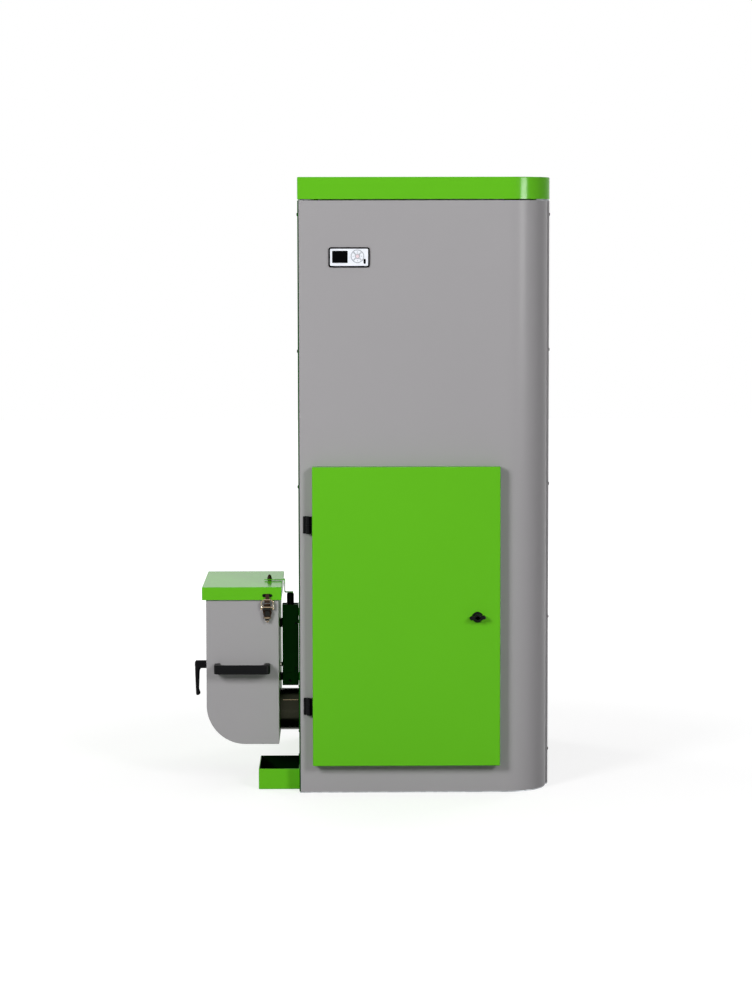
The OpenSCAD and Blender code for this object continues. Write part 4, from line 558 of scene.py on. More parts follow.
def make_finishes(looks):
    """Every finish on the boiler, by the name of its slot or its place."""
    powder_paint("Grey_paint", tuple(looks.grey), looks.paint_roughness, 0.03)
    powder_paint("Green_paint", tuple(looks.green), looks.paint_roughness * 0.55)
    # A deep green that paints shade: the bin's bracket, deep in the slot between bin and cabinet,
    # and the left panel's front hem
    powder_paint("Shaded_green_paint", tuple(looks.shaded_green), 0.42, 0.05)
    # Near-black green for the inside of the floor tray: painted shade, where its walls keep the
    # light out
    powder_paint("Tray_shade_paint", linear(6, 42, 6), 0.6, 0.03)
    moulded_plastic("Black_plastic", tuple(looks.black), 0.42)
    moulded_plastic("White_plastic", tuple(looks.white), 0.3, 0.00003)
    moulded_plastic("Symbol_ink", linear(176, 182, 190), 0.5, 0.00002)
    moulded_plastic("Bezel_plastic", linear(3, 3, 4), 0.5, gloss=0.03)
    moulded_plastic("Centre_key_plastic", linear(226, 205, 212), 0.32, 0.00003)
    moulded_plastic("Dark_rubber", linear(24, 24, 25), 0.72, 0.0003)
    rolled_steel("Bare_steel", linear(206, 200, 190), 0.24, (1, 1, 0.08))
    rolled_steel("Dark_steel", linear(92, 92, 84), 0.36, (0.06, 1, 1), 0.00006)
    rolled_steel("Tube_steel", linear(47, 47, 38), 0.22, (0.06, 1, 1))
    # Light tan steel: the latch's tan plated steel, made lighter on its pins, bends and bars to
    # paint where they catch the light, and the painted highlight line on the ash tube
    rolled_steel("Tan_highlight_steel", linear(170, 150, 124), 0.22, (0.1, 1, 1))
    # Dark brown steel: the tab nut's dark metal, and on the latch a darker copy of the tan steel
    # that paints the shade on its base, plates and bands
    rolled_steel("Brown_shade_steel", linear(58, 44, 35), 0.34, (1, 1, 0.1))
    rolled_steel("Black_steel", linear(38, 38, 36), 0.4, (1, 1, 0.1))
    rolled_steel("Brass", linear(196, 164, 96), 0.28, (1, 0.1, 1))
    casting, scale = ((40, 40, 42), (64, 63, 62)), ((52, 53, 55), (98, 96, 92))
    gloss, grain = (160, 4, 0.55, 0.78), (420, 4, 0.7, 0.0006, 0.45)
    raw_iron("Cast_iron", 0.35, (30, 5, 0.7), casting, gloss, grain)
    gloss, grain = (60, 5, 0.48, 0.72), (260, 5, 0.6, 0.0003, 0.35)
    raw_iron("Boiler_steel", 0.4, (7, 6, 0.65), scale, gloss, grain)

    f = Finish("Window_plastic", IOR=1.5, Specular_IOR_Level=0.02)
    f.colour(f.between(f.noise(90, 2), linear(2, 2, 3), linear(7, 7, 9)))
    f.rough(f.level(f.noise(220, 4), 0.06, 0.17))
    f.relief(f.noise(40, 1), 0.00005, 0.1)

    f = Finish("Galvanised_steel", Metallic=0.85)
    cells = f.add("TexVoronoi", {"Vector": f.place, "Scale": 85}).outputs["Color"]
    spangle = f.level(cells, 0.0, 1.0)
    base = f.between(spangle, linear(158, 162, 166), linear(196, 199, 201))
    f.colour(f.between(f.level(f.noise(9, 4), 0.0, 0.3), base, linear(128, 132, 134)))
    f.rough(f.level(spangle, 0.34, 0.52))
    f.relief(spangle, 0.00004, 0.4)

    f = Finish("Board_plastic", IOR=1.5)
    tracks = f.noise(420, 1)
    copper = f.level(tracks, 0.0, 1.0, 0.48, 0.52)
    f.colour(f.between(copper, linear(14, 74, 36), linear(34, 104, 58)))
    f.rough(f.level(f.noise(120, 2), 0.3, 0.45))
    f.relief(tracks, 0.00005, 0.4)


def finish_nodes():
    """Gives every node that stays in view its finish."""
    wear = {
        "Galvanised_steel": ["base_pan", "frame_posts", "hopper", "fan_housing"],
        "Boiler_steel": ["boiler_vessel", "cleaning_cover", "smoke_duct", "feed_tube"],
        "Cast_iron": ["burner_pot", "firebox_door", "firebox_handle", "circulation_pump"],
        "Bare_steel": ["feed_auger", "ash_auger", "fan_impeller", "clamp_rod"],
        "Black_plastic": ["feed_gearmotor", "ash_gearmotor", "fan_motor", "mains_inlet"],
        "Brass": ["water_pipes"],
        "Board_plastic": ["control_board"],
        "Dark_rubber": ["hopper_lid_seal"],
    }
    for finish, nodes in wear.items():
        for node in nodes:
            part = frame["nodes"][node]
            if not part.material_slots:
                part.data.materials.append(FINISHES[finish])
            for slot in part.material_slots:
                slot.material = FINISHES[finish]


# What a user would change


def shade(name, description, *screen):
    """A colour, its default as it reads on a screen."""
    return FloatVectorProperty(
        name=name, description=description, subtype="COLOR", size=3, min=0, max=1,
        default=linear(*screen),
    )


def length(name, description, low, usual, high):
    """A length, its limits and default in millimetres."""
    return FloatProperty(
        name=name, description=description, unit="LENGTH", min=low * MM, max=high * MM,
        default=usual * MM,
    )


def power(name, description, usual):
    """A lamp's power in watts."""
    return FloatProperty(name=name, description=description, unit="POWER", min=0, default=usual)


class BOILER_PG_looks(bpy.types.PropertyGroup):
    """Colours and gloss of the boiler's finishes."""

    grey: shade("Grey paint", "Colour of the panels and the bin", 158, 156, 158)
    green: shade("Green paint", "Colour of the cap, the door and the bin's lid", 95, 181, 30)
    # Deep green that paints the shade on the bin's bracket and on the left panel's hem
    shaded_green: shade("Green painted shade", "Colour of the bin's bracket", 3, 70, 7)
    black: shade("Black plastic", "Colour of the knob, handles and hinges", 8, 8, 10)
    white: shade("White plastic", "Colour of the display's face and keys", 232, 235, 244)
    paint_roughness: FloatProperty(
        name="Paint roughness", description="How matt the powder paint is", subtype="FACTOR",
        min=0.1, max=0.9, default=0.3,
    )


class BOILER_PG_sizes(bpy.types.PropertyGroup):
    """Sizes that the sheet metal and the small parts are made to."""

    sheet: length("Sheet", "Thickness of the cabinet's sheet metal", 0.8, 1.5, 3)
    fold: length("Fold radius", "Outer radius of the folds in the sheet metal", 1, 2.2, 4)
    corner: length("Corner radius", "Radius of the round corner at the front right", 70, 100, 105)
    bin_corner: length("Bin corner radius", "Radius of the bin's lower outer corner", 70, 95, 110)
    knob_span: length("Knob span", "Span of the knob's wings", 34, 39, 50)
    keypad: length("Keypad radius", "Radius of the round keypad", 13, 15, 17)


class BOILER_PG_studio(bpy.types.PropertyGroup):
    """Lamps of the studio."""

    left: power("Left lamp", "Power of the large soft lamp at the front left", 133)
    right: power("Right lamp", "Power of the large soft lamp at the front right", 84)
    back: power("Back lamps", "Power of each of the two lamps behind", 85)
    top: power("Top lamp", "Power of the lamp overhead", 30)
    strip: power("Strip lamp", "Power of the low lamp at the right, which only shows in gloss", 240)
    fill: FloatProperty(
        name="Room light", description="Strength of the even light from all round", min=0,
        default=0.06,
    )


def in_mm(context, *names):
    """Sizes that a user can change, in millimetres."""
    return [getattr(context.scene.boiler_sizes, name) / MM for name in names]


class BOILER_OT_finishes(bpy.types.Operator):
    """Make every finish, and give the nodes that stay in view theirs"""

    bl_idname = "boiler.finishes"
    bl_label = "Finishes"
    bl_options = {"UNDO"}

    def execute(self, context):
        make_finishes(context.scene.boiler_looks)
        finish_nodes()
        return {"FINISHED"}


# Cabinet


class BOILER_OT_cabinet(bpy.types.Operator):
    """Build the cabinet's folded panels, cap and side screws"""

    bl_idname = "boiler.cabinet"
    bl_label = "Cabinet"
    bl_options = {"UNDO"}

    def execute(self, context):
        sheet, fold, corner = in_mm(context, "sheet", "fold", "corner")
        self.front(sheet, fold, corner)
        self.sides(sheet, fold)
        self.rear()
        self.cap(sheet, fold, corner)
        self.screws()
        return {"FINISHED"}

    def front(self, sheet, fold, corner):
        xs, ys, zs = spans("front_panel")
        door, bezel = spans("door_panel"), spans("display_bezel")
        service = (shrink(door[0], 13), shrink(door[2], 13))
        window = (shrink(bezel[0], 2.7), shrink(bezel[2], 2.7))
        stops = sorted([*service[0], *window[0]])
        corners = [(xs[0], ys[0] + 26), (xs[0], ys[0])] + [(x, ys[0]) for x in stops]
        corners += [(xs[1], ys[0]), (xs[1], ys[1]), (xs[1] - 25, ys[1])]
        radii = [0, fold] + [0] * len(stops) + [corner, sheet, 0]
        bm = bmesh.new()
        folded(bm, rounded(corners, radii, closed=False), zs, sheet, [service, window])
        piece(bm, "Front_panel", "Grey_paint")

    def sides(self, sheet, fold):
        xs, ys, zs = spans("right_side_panel")
        bm = bmesh.new()
        corners = [(xs[0], ys[0]), (xs[1], ys[0]), (xs[1], ys[1])]
        folded(bm, rounded(corners, [0, fold, 0], closed=False), zs, sheet)
        piece(bm, "Right_side_panel", "Grey_paint")

        xs, ys, zs = spans("left_side_panel")
        hem = ys[0] + 14
        corners = [(xs[0], ys[1]), (xs[0], ys[0]), (xs[1], ys[0]), (xs[1], hem)]
        corners += [(xs[0] + sheet, hem), (xs[0] + sheet, ys[1])]
        bm = bmesh.new()
        prism(bm, rounded(corners, [0, 1.3, 1.3, 0.5, 0, 0], 4), zs, "z", 0.3, concave=True)
        # The front hem takes the deep green: painted shade on the fold beside the front panel's
        # edge
        paint_within(bm, (xs[0] + 0.2, xs[1] + 1), (ys[0] - 1, hem + 0.5), shrink(zs, 1))
        piece(bm, "Left_side_panel", "Green_paint", "Shaded_green_paint")

    def rear(self):
        xs, ys, zs = spans("rear_panel")
        flue, air, inlet = spans("flue_collar"), spans("air_pipe"), spans("mains_inlet")
        pipe_x = spans("water_pipes")[0][1] - 21
        holes = [
            disc((middle(flue[0]), middle(flue[2])), 50.3, 48),
            disc((middle(air[0]), middle(air[2])), 30.3, 36),
            disc((pipe_x, 1230), 14.3, 24),
            disc((pipe_x, 300), 14.3, 24),
            oblong(shrink(inlet[0], 4.7), shrink(inlet[2], 4.7)),
        ]
        for x in (-(xs[1] - xs[0]) / 4, (xs[1] - xs[0]) / 4):
            for row in range(9):
                for z in (60 + 14 * row, zs[1] - 60 - 14 * row):
                    holes.append(pill((x, z), 70, 5, steps=6))
        bm = bmesh.new()
        prism(bm, oblong(xs, zs, 1.0), ys, "y", holes=holes)
        ends = shrink(zs, 14)
        for x in (xs[0] + 12, middle(xs), xs[1] - 12):
            for z in (ends[0], zs[0] + 480, zs[0] + 950, ends[1]):
                if abs(x) > 20 or z in ends:
                    screw(bm, (x, z, ys[1]), "y", 1, 4, 2.2, paint=1)
        piece(bm, "Rear_panel", "Galvanised_steel", "Bare_steel")

    def cap(self, sheet, fold, corner):
        xs, ys, zs = spans("top_cap")
        lid = spans("hopper_lid")[0]
        outline = rounded(oblong(xs, ys), [2.5, corner + 4, 2.5, 2.5])
        pin = (HOPPER_PIN_Y, zs[1] - HOPPER_PIN_DROP)
        front, rear = 45.5, pin[0] + 5
        hole = [(lid[0] - 3, front)] + arc((-22, front), 22, pi, pi, 12)
        hole += [(lid[1] + 3, front), (lid[1] + 3, rear), (lid[0] - 3, rear)]
        bm = bmesh.new()
        pan(bm, outline, zs[0], zs[1], sheet, fold, "z", [hole])
        leaf = ((pin[0], pin[0] + 6.5), (zs[1] - 4.5, zs[1] - 1.5))
        for share in (0.2, 0.8):
            x = lid[0] + share * (lid[1] - lid[0])
            knuckles(bm, x, pin, (20.3, 40.3), 4.7, 0.6, *leaf)
        piece(bm, "Top_cap", "Green_paint", "Bare_steel")

    def screws(self):
        bm = bmesh.new()
        for way, places in ((-1, (-350.5, 375)), (1, (-271.5, 375))):
            face = way * SIDE
            for y in places:
                for z in (86 + 326 * row for row in range(5)):
                    screw(bm, (y, z, face), "x", way, 4, 2.4)
                    rod(bm, sorted((face, face - way * 7)), (y, z), 2, "x")
        piece(bm, "Side_screws", "Black_plastic")


class BOILER_OT_hopper_lid(bpy.types.Operator):
    """Build the pellet hopper's lid in the cap"""

    bl_idname = "boiler.hopper_lid"
    bl_label = "Hopper lid"
    bl_options = {"UNDO"}

    def execute(self, context):
        sheet, fold = in_mm(context, "sheet", "fold")
        xs, ys, zs = spans("hopper_lid")
        pin = (HOPPER_PIN_Y, zs[1] - HOPPER_PIN_DROP)
        bm = bmesh.new()
        pan(bm, oblong(xs, (ys[0], 328.5), 4), zs[1] - 20, zs[1], sheet, fold, "z")
        for share in (0.2, 0.8):
            leaf = about(xs[0] + share * (xs[1] - xs[0]), 20)
            rod(bm, leaf, pin, 4.7, "x", 0.6)
            block(bm, leaf, (327, pin[0]), about(pin[1], 1.5), 0.3)
        piece(bm, "Hopper_lid", "Green_paint")
        return {"FINISHED"}


# Front door


class BOILER_OT_front_door(bpy.types.Operator):
    """Build the green door, its liner, hinges and knob"""

    bl_idname = "boiler.front_door"
    bl_label = "Front door"
    bl_options = {"UNDO"}

    def execute(self, context):
        sheet, fold, span = in_mm(context, "sheet", "fold", "knob_span")
        xs, ys, zs = spans("door_panel")
        hub = (HUB_X, middle(zs))
        spindle = disc(hub, SPINDLE_HOLE, 20)
        bm = bmesh.new()
        pan(bm, oblong(xs, zs, 2.5), ys[1], ys[0], sheet, fold, "y", [spindle])
        piece(bm, "Door_panel", "Green_paint")

        inner = oblong(shrink(xs, sheet), shrink(zs, sheet), 0.5)
        bm = bmesh.new()
        pan(bm, inner, ys[1] - 12, ys[1], 1.2, 1.2, "y", [spindle])
        piece(bm, "Door_liner", "Galvanised_steel")

        self.hinges(xs[0], ys)
        self.knob(hub, ys[0], span)
        self.cam(hub, spindle)
        return {"FINISHED"}

    def hinges(self, edge, door_y):
        face = spans("door_hinges")[1][1]
        x, y = edge - 9, face - 10
        fixed, moving = bmesh.new(), bmesh.new()
        for z in (spans("door_hinges")[2][0], 629.4):
            half, top = z + DOOR_KNUCKLE / 2, z + DOOR_KNUCKLE
            block(fixed, (x - 13, x), (face - 3, face), (z, top), 0.6, "y", 2)
            for place in (z + 9, z + 32.5):
                screw(fixed, (x - 8.6, place, face - 3), "y", -1, 2.7, 0.9)
            block(fixed, (x - 6.5, x), (y, face), (z, half - 0.3), 0.4)
            rod(fixed, (z, half - 0.3), (x, y), 6.5, "z", 0.8)
            rod(fixed, (z, z + 39), (x, y), 3, "z")
            rod(moving, (half, top), (x, y), 6.5, "z", 0.8, bore=3.05)
            block(moving, (x + 2, edge), about(y, 3), (half, top), 0.5)
            wrap = (door_y[0] + 6, door_y[1])
            block(moving, (edge - 2, edge), wrap, (z - 2.6, top), 0.5, "x", 1.5)
        piece(fixed, "Door_hinges", "Black_plastic", "Bare_steel")
        piece(moving, "Door_hinge_arms", "Black_plastic")

    def knob(self, hub, front, span):
        tip, seat = front - 22, front - 7
        bm = bmesh.new()
        skirt = [(0, front - 0.3), (13, front - 0.3), (13, front - 4), (10.2, seat), (0, seat)]
        lathe(bm, rounded(skirt, [0, 0.4, 1.2, 1.2, 0], 4), hub, "y")
        prism(bm, pill(hub, span, 9, 3, 12), (tip, front - 6.6), "y", 2.6, steps=4)
        crown = [(0, tip), (8.5, tip), (9.2, seat), (0, seat)]
        lathe(bm, rounded(crown, [0, 2.2, 0.6, 0], 4), hub, "y", 32)
        lathe(bm, [(0.01, tip + 1.4), (4.2, tip + 1.4), (4.6, tip)], hub, "y", 24, paint=1)
        rod(bm, (front - 1, -385), hub, 4, "y", paint=1)
        piece(bm, "Door_knob", "Black_plastic", "Bare_steel")

    def cam(self, hub, spindle):
        bm = bmesh.new()
        cam = pill((hub[0], hub[1] + 22), 60, 16, 90)
        prism(bm, cam, (-389, -385), "y", 0.6, holes=[spindle])
        piece(bm, "Latch_cam", "Bare_steel")


# Display and keypad


class BOILER_OT_display(bpy.types.Operator):
    """Build the display's frame, face, windows and round keypad"""

    bl_idname = "boiler.display"
    bl_label = "Display and keypad"
    bl_options = {"UNDO"}

    def execute(self, context):
        (reach,) = in_mm(context, "keypad")
        xs, ys, zs = spans("display_bezel")
        face = spans("display_face")[1]
        inner = (shrink(xs, 3.5), shrink(zs, 3.5))
        bm = bmesh.new()
        rim = oblong(*inner, 2.5)
        prism(bm, oblong(xs, zs, 6), (ys[0], ys[0] + 4), "y", 0.5, [rim], steps=4)
        collar = oblong(shrink(xs, 3), shrink(zs, 3), 1.5)
        prism(bm, collar, (ys[0] + 3.6, ys[1]), "y", 0.2, [oblong(*inner, 1.2)])
        block(bm, inner[0], (ys[1] - 1.5, ys[1]), inner[1], 0.2, "y")
        piece(bm, "Display_bezel", "Bezel_plastic")

        lcd = oblong((-220.4, -183.5), (1274.7, 1303.5), 1.6)
        eye = pill((-143.2, 1278.6), 12, 5.4, 90)
        pad = (-160.2, 1290.5)
        bm = bmesh.new()
        prism(bm, rim, face, "y", 0.25, [lcd, eye, disc(pad, reach + 0.35, 56)])
        circle, inside = (disc(pad, reach + more, 56) for more in (0.95, 0.45))
        self.ink(bm, face[0] - 0.06, circle, [inside], 0.16)
        piece(bm, "Display_face", "White_plastic", "Symbol_ink")

        bm = bmesh.new()
        for shape in (lcd, eye):
            prism(bm, inset(shape, 0.05), (face[0] + 0.25, face[1]), "y", 0.3)
        piece(bm, "Display_windows", "Window_plastic")

        self.keys(pad, reach, face[0] - 0.4)
        return {"FINISHED"}

    def ink(self, bm, front, outline, holes=(), depth=0.15):
        prism(bm, outline, (front, front + depth), "y", 0, holes, paint=1)

    def keys(self, pad, reach, front):
        hub, gap, back = 5.0, 0.35, front + 2.6
        for name, turn in (("up", pi / 2), ("left", pi), ("down", 1.5 * pi), ("right", 0)):
            bm = bmesh.new()
            key = self.sector(pad, hub + gap, reach, gap / 2, turn)
            prism(bm, key, (front, back), "y", 0.3)
            inner = self.sector(pad, hub + 1.5, reach - 1.25, 1.45, turn)
            outer = self.sector(pad, hub + 0.7, reach - 0.35, 0.55, turn)
            self.ink(bm, front - 0.05, outer, [inner])
            arrow = [(8.6, -2.0), (12.0, 0), (8.6, 2.0), (9.4, 0)]
            self.ink(bm, front - 0.05, turned(arrow, pad, turn))
            piece(bm, "Key_" + name, "White_plastic", "Symbol_ink")
        bm = bmesh.new()
        dish = [(0, front + 0.35), (hub, front), (hub, back), (0, back)]
        lathe(bm, rounded(dish, [0, 0.5, 0.2, 0], 3), pad, "y")
        ring = [disc(pad, hub - 1.1, 40)]
        self.ink(bm, front - 0.02, disc(pad, hub - 0.25, 40), ring, 0.22)
        piece(bm, "Key_centre", "Centre_key_plastic", "Symbol_ink")

    def sector(self, pad, low, high, gap, turn):
        """A quarter of a ring, its straight sides a gap away from the diagonals."""
        shape = []
        for radius, way in ((high, 1), (low, -1)):
            half = way * (pi / 4 - math.asin(gap / radius))
            shape += arc(pad, radius, turn - half, 2 * half, 14)
        return shape


# Ash bin


class BOILER_OT_ash_bin(bpy.types.Operator):
    """Build the ash bin's shell, lid, tab, handle and buffers"""

    bl_idname = "boiler.ash_bin"
    bl_label = "Ash bin"
    bl_options = {"UNDO"}

    def execute(self, context):
        sheet, corner = in_mm(context, "sheet", "bin_corner")
        self.shell(sheet, corner)
        self.sleeve()
        self.lid(sheet)
        self.tab()
        self.nut()
        self.handle()
        self.buffers()
        return {"FINISHED"}

    def shell(self, sheet, corner):
        (left, right), rim = BIN_X, BIN_Z[1]
        corners = [(right, rim), (right, BIN_Z[0]), (left, BIN_Z[0]), (left, rim)]
        outline = rounded(corners, [0, 2.6, corner, 0])

        def level(into, w):
            ring = inset(outline, into)
            ring[0], ring[-1] = (ring[0][0], rim), (ring[-1][0], rim)
            return ring_at(ring, w, "y")

        levels = [(BIN_Y[0], 2.3), *eased(BIN_Y, 1.4), (BIN_Y[1], 2.3)]
        bm = bmesh.new()
        outer = skin(bm, [level(into, w) for w, into in levels], closed=False)
        inner = skin(bm, [level(sheet, w) for w in shrink(BIN_Y, sheet)], closed=False)
        pierced(bm, [[r[0] for r in side] + [r[-1] for r in side[::-1]] for side in (outer, inner)])
        carve(
            piece(bm, "Bin_shell", "Grey_paint", "Bare_steel"),
            lambda bm: rod(bm, (left - 3, right + 3), (TUBE_Y, CLAMP_Z), 8.9, "x"),
            lambda bm: rod(bm, (right - 4, right + 3), (TUBE_Y, TUBE_Z), 48.5, "x", steps=64),
        )

    def sleeve(self):
        bm = bmesh.new()
        rod(bm, shrink(BIN_X, 0.2), (TUBE_Y, CLAMP_Z), 9, "x", 0.3, bore=5.05)
        for x in BIN_HINGES_X:
            knuckles(bm, x, BIN_PIN, (13.3, 26.3), 5, 0.5, (5.2, BIN_PIN[0]), (452.5, 456.5))
        piece(bm, "Bin_sleeve", "Grey_paint", "Bare_steel", body="ash_bin", slot="grey_paint")

    def lid(self, sheet):
        bm = bmesh.new()
        rim = oblong((-538.2, -345.7), (-331.5, 11.5), 2.1)
        pan(bm, rim, 461.5, 492.8, sheet, 1.8, "z")
        for x in BIN_HINGES_X:
            leaf = about(x, 13)
            rod(bm, leaf, BIN_PIN, 5, "x", 0.5, bore=2.6)
            block(bm, leaf, (11.3, 13.5), (461.5, 477.5), 0.3)
            block(bm, leaf, (11.5, 17.5), (460.5, 464.5), 0.3)
            for place in about(x, 8):
                screw(bm, (place, 471, 13.5), "y", 1, 2.4, 1.4, paint=1)
        piece(bm, "Bin_lid", "Green_paint", "Bare_steel")

    def tab(self):
        front, middle_x = -339.2, TAB_X - 3
        corners = [(-390.7, 497), (front, 497), (front, 465.5), (-319.2, 465.5)]
        line = rounded(corners, [0, 3.2, 1.2, 0], 5, False)
        bm = bmesh.new()
        prism(bm, strip(line, 2), about(TUBE_Y, 10), "y", 0.4, concave=True)
        washer = [(0.01, 492.8), (5, 492.8), (5, 495.2), (0.01, 495.2)]
        lathe(bm, washer, (TAB_X, TUBE_Y), "z", 32, 1)
        waste = arc((middle_x, TUBE_Y), 10, pi / 2, pi, 16)
        waste += [(middle_x, -203), (-392, -203), (-392, -180), (middle_x, -180)]
        made = piece(bm, "Lid_tab", "Green_paint", "Dark_steel")
        carve(made, lambda bm: prism(bm, waste, (494, 498), "z"))

    def nut(self):
        at, brim = (TAB_X, TUBE_Y), 501.4
        bm = bmesh.new()
        prism(bm, disc(at, 5.7, 6), (496.9, 500.4), "z", 0.5)
        dome = [(0.01, 500.2), (4.9, 500.2), (4.8, brim)]
        dome += [(4.8 * cos(a), brim + 6.4 * sin(a)) for a in (pi * k / 20 for k in range(1, 10))]
        lathe(bm, dome + [(0.01, brim + 6.4)], at, "z", 32)
        piece(bm, "Tab_nut", "Brown_shade_steel", body="bin_lid", slot="bare_steel")

    def handle(self):
        """A bar bent into a bridge, its legs running back to the bin's front."""
        xs, (front, wall), _ = spans("bin_handle")
        inner, back = shrink(xs, 15), front + 12
        corners = [(xs[0], wall), (xs[0], front), (xs[1], front), (xs[1], wall)]
        corners += [(inner[1], wall), (inner[1], back), (inner[0], back), (inner[0], wall)]
        outline = rounded(corners, [3.1, 10, 10, 3.1, 3.1, 7, 7, 3.1], 8)
        bm = bmesh.new()
        prism(bm, outline, (285.1, 306.9), "z", 2.8, steps=4, concave=True)
        piece(bm, "Bin_handle", "Black_plastic")

    def buffers(self):
        bm = bmesh.new()
        for zs in ((379, 398), (246.5, 262.5)):
            block(bm, (BIN_X[1], -346.8), about(TUBE_Y, 15), zs, 0.8)
        piece(bm, "Bin_buffers", "Dark_rubber")


class BOILER_OT_latch(bpy.types.Operator):
    """Build the toggle latch that holds the bin's lid shut"""

    bl_idname = "boiler.latch"
    bl_label = "Toggle latch"
    bl_options = {"UNDO"}

    def execute(self, context):
        x, y, z = -380.0, -334.5, 431.0
        self.base(x, y, z)
        self.lever(x, y, z)
        self.claw(x, y, z - 12)
        self.keeper(x)
        return {"FINISHED"}

    def base(self, x, y, z):
        face = BIN_Y[0]
        bm = bmesh.new()
        plate = oblong(about(x, 7.5), (z - 12, z + 21), 2.5)
        prism(bm, plate, (face - 1.6, face), "y", 0.4)
        ear = [(y - 4.5, z - 4.5), (face, z - 5.5), (face, z + 6.5), (y - 4.5, z + 4.5)]
        for side in (-1, 1):
            prism(bm, rounded(ear, [4.4, 0, 0, 4.4]), about(x + side * 9.6, 0.5), "x", 0.3)
            rod(bm, about(x + side * 10, 0.9), (y, z), 2.2, "x", 0.7)
            screw(bm, (x + side * 4.6, z + 16.5, face - 1.6), "y", -1, 2, 0.9, 0.2)
        block(bm, about(x, 10), (face - 1, face), (z - 5, z + 6), 0.3)
        rod(bm, about(x, 10.4), (y, z), 1.5, "x")
        # The brown steel paints the shade on the base plate, which sits in shadow behind the claw
        piece(bm, "Latch_base", "Brown_shade_steel")

    def lever(self, x, y, z):
        half = [(-4.9, 5), (-5.3, -9.6), (-5.3, -16.5), (-4.4, -19)]
        blade = [(x + u, z + v) for u, v in half + [(-u, v) for u, v in half[::-1]]]
        bm = bmesh.new()
        prism(bm, rounded(blade, [1, 2, 2, 1] * 2, 4), (y - 2, y + 1.6), "y", 0.6)
        cheek = rounded(oblong((y - 1.6, y + 2.6), (z - 15, z + 3)), [1, 2, 2, 1])
        for side in (-1, 1):
            prism(bm, cheek, about(x + side * 5.6, 0.7), "x", 0.3)
        # The pins and the ring take the light tan steel and the band above them the brown: painted
        # highlight and painted shade on the one tan steel
        rod(bm, about(x, 9.2), (y, z - 12), 1.5, "x", paint=1)
        for drop, radius, paint in ((12.6, 1.7, 1), (9.3, 1.3, 2)):
            rod(bm, about(x, 5.5), (y - 1.1, z - drop), radius, "x", 0.6, paint=paint)
        ring = rounded(oblong((2.2, 4.6), about(y, 1.7)), 1.1, 4)
        lathe(bm, ring, (x, z - 18.9), "y", 36, 1, ring=True)
        # A bright steel head at the ring's lower left, where the ring shows a glint: a painted
        # glint
        screw(bm, (x - 3.2, z - 20.6, y - 1.5), "y", -1, 1.3, 0.8, 0.2, paint=3)
        piece(bm, "Latch_lever", "Black_steel", "Tan_highlight_steel", "Brown_shade_steel", "Bare_steel")

    def claw(self, x, y, low):
        """A plate on a bent wire, drawn down by a spring on each side."""
        turns, height, steps = 5, 12, 20
        arm = rounded(oblong(about(y, 2), (low - 3, low + 26)), [2, 2, 0.5, 0.5])
        bend = [(14.3, low + 19), (14.3, low + 38.6), (8.6, low + 43.6), (5, low + 43.6)]
        bend = rounded(bend, [0, 4, 3, 0], 6, False)
        bm = bmesh.new()
        # The bars and bends take the light tan steel, the arms and plates the brown: painted
        # highlight where they catch the light, painted shade where they sit in shadow
        for side in (-1, 1):
            at = (x + side * 14.3, y)
            prism(bm, arm, about(x + side * 8.1, 0.6), "x", 0.3, paint=1)
            rod(bm, (low + 20, low + 22.6), at, 2.7, "z", 0.6)
            rod(bm, (low + 34.6, low + 35.6), at, 2.9, "z", 0.3)
            coil = arc(at, 2.4, 0, 2 * pi * turns, steps * turns)
            rise = height / (steps * turns)
            wire = [(u, v, low + 22.6 + rise * k) for k, (u, v) in enumerate(coil)]
            bar(bm, wire, 0.62, 8, paint=2)
            bar(bm, [(x + side * u, y, v) for u, v in bend], 1.35, 12, hint=(0, 1, 0))
        rod(bm, about(x, 16), (y, low + 25.4), 1.9, "x", 0.6)
        block(bm, about(x, 8), (y - 2.2, y + 1), (low + 18.4, low + 24), 0.5, paint=3)
        front = -339.3
        plate = oblong(about(x, 5), (low + 44, low + 58.5), 1.6, 4)
        prism(bm, plate, (front, front + 1.6), "y", 0.5, paint=1)
        rod(bm, about(x, 8.2), (front + 1.6, low + 44.4), 1.75, "x", 0.6)
        block(bm, about(x, 6.4), (front + 0.8, y + 1), (low + 36.4, low + 43), 0.6, paint=1)
        piece(bm, "Latch_claw", "Tan_highlight_steel", "Brown_shade_steel", "Bare_steel", "Black_steel")

    def keeper(self, x):
        lid, z = -331.5, 472.7
        bm = bmesh.new()
        prism(bm, oblong(about(x, 8), (469.4, 476.6), 1, 4), (lid - 1.6, lid), "y", 0.3)
        for side in (-1, 1):
            lobe = (x + side * 8.2, z)
            prism(bm, disc(lobe, 3.9, 28), (lid - 1.8, lid), "y", 0.4)
            screw(bm, (*lobe, lid - 1.8), "y", -1, 3.1, 1.7)
        block(bm, about(x, 5), (lid - 5, lid - 0.1), (z - 0.3, z + 1.9), 0.5)
        piece(bm, "Latch_keeper", "Black_plastic")


# Clamp and bracket

# Sections down the clamping lever: height, left and right side, half depth
LEVER_SECTIONS = (
    (284, -562.6, -546.6, 8.6), (276, -563.1, -546.9, 8.2), (273.4, -563.1, -549.4, 7.9),
    (270, -563.0, -550.9, 7.6), (262, -562.8, -551.5, 7.2), (245, -562.2, -552.1, 6.8),
    (230, -561.7, -552.8, 6.5), (224, -561.4, -552.9, 6.6), (220.5, -561.3, -551.9, 7.0),
    (217, -561.1, -550.3, 7.4), (213.5, -561, -549.9, 7.5), (210.8, -560.7, -551.0, 6.8),
    (209, -560, -553.2, 5.4), (208.2, -558.6, -555.4, 3),
)


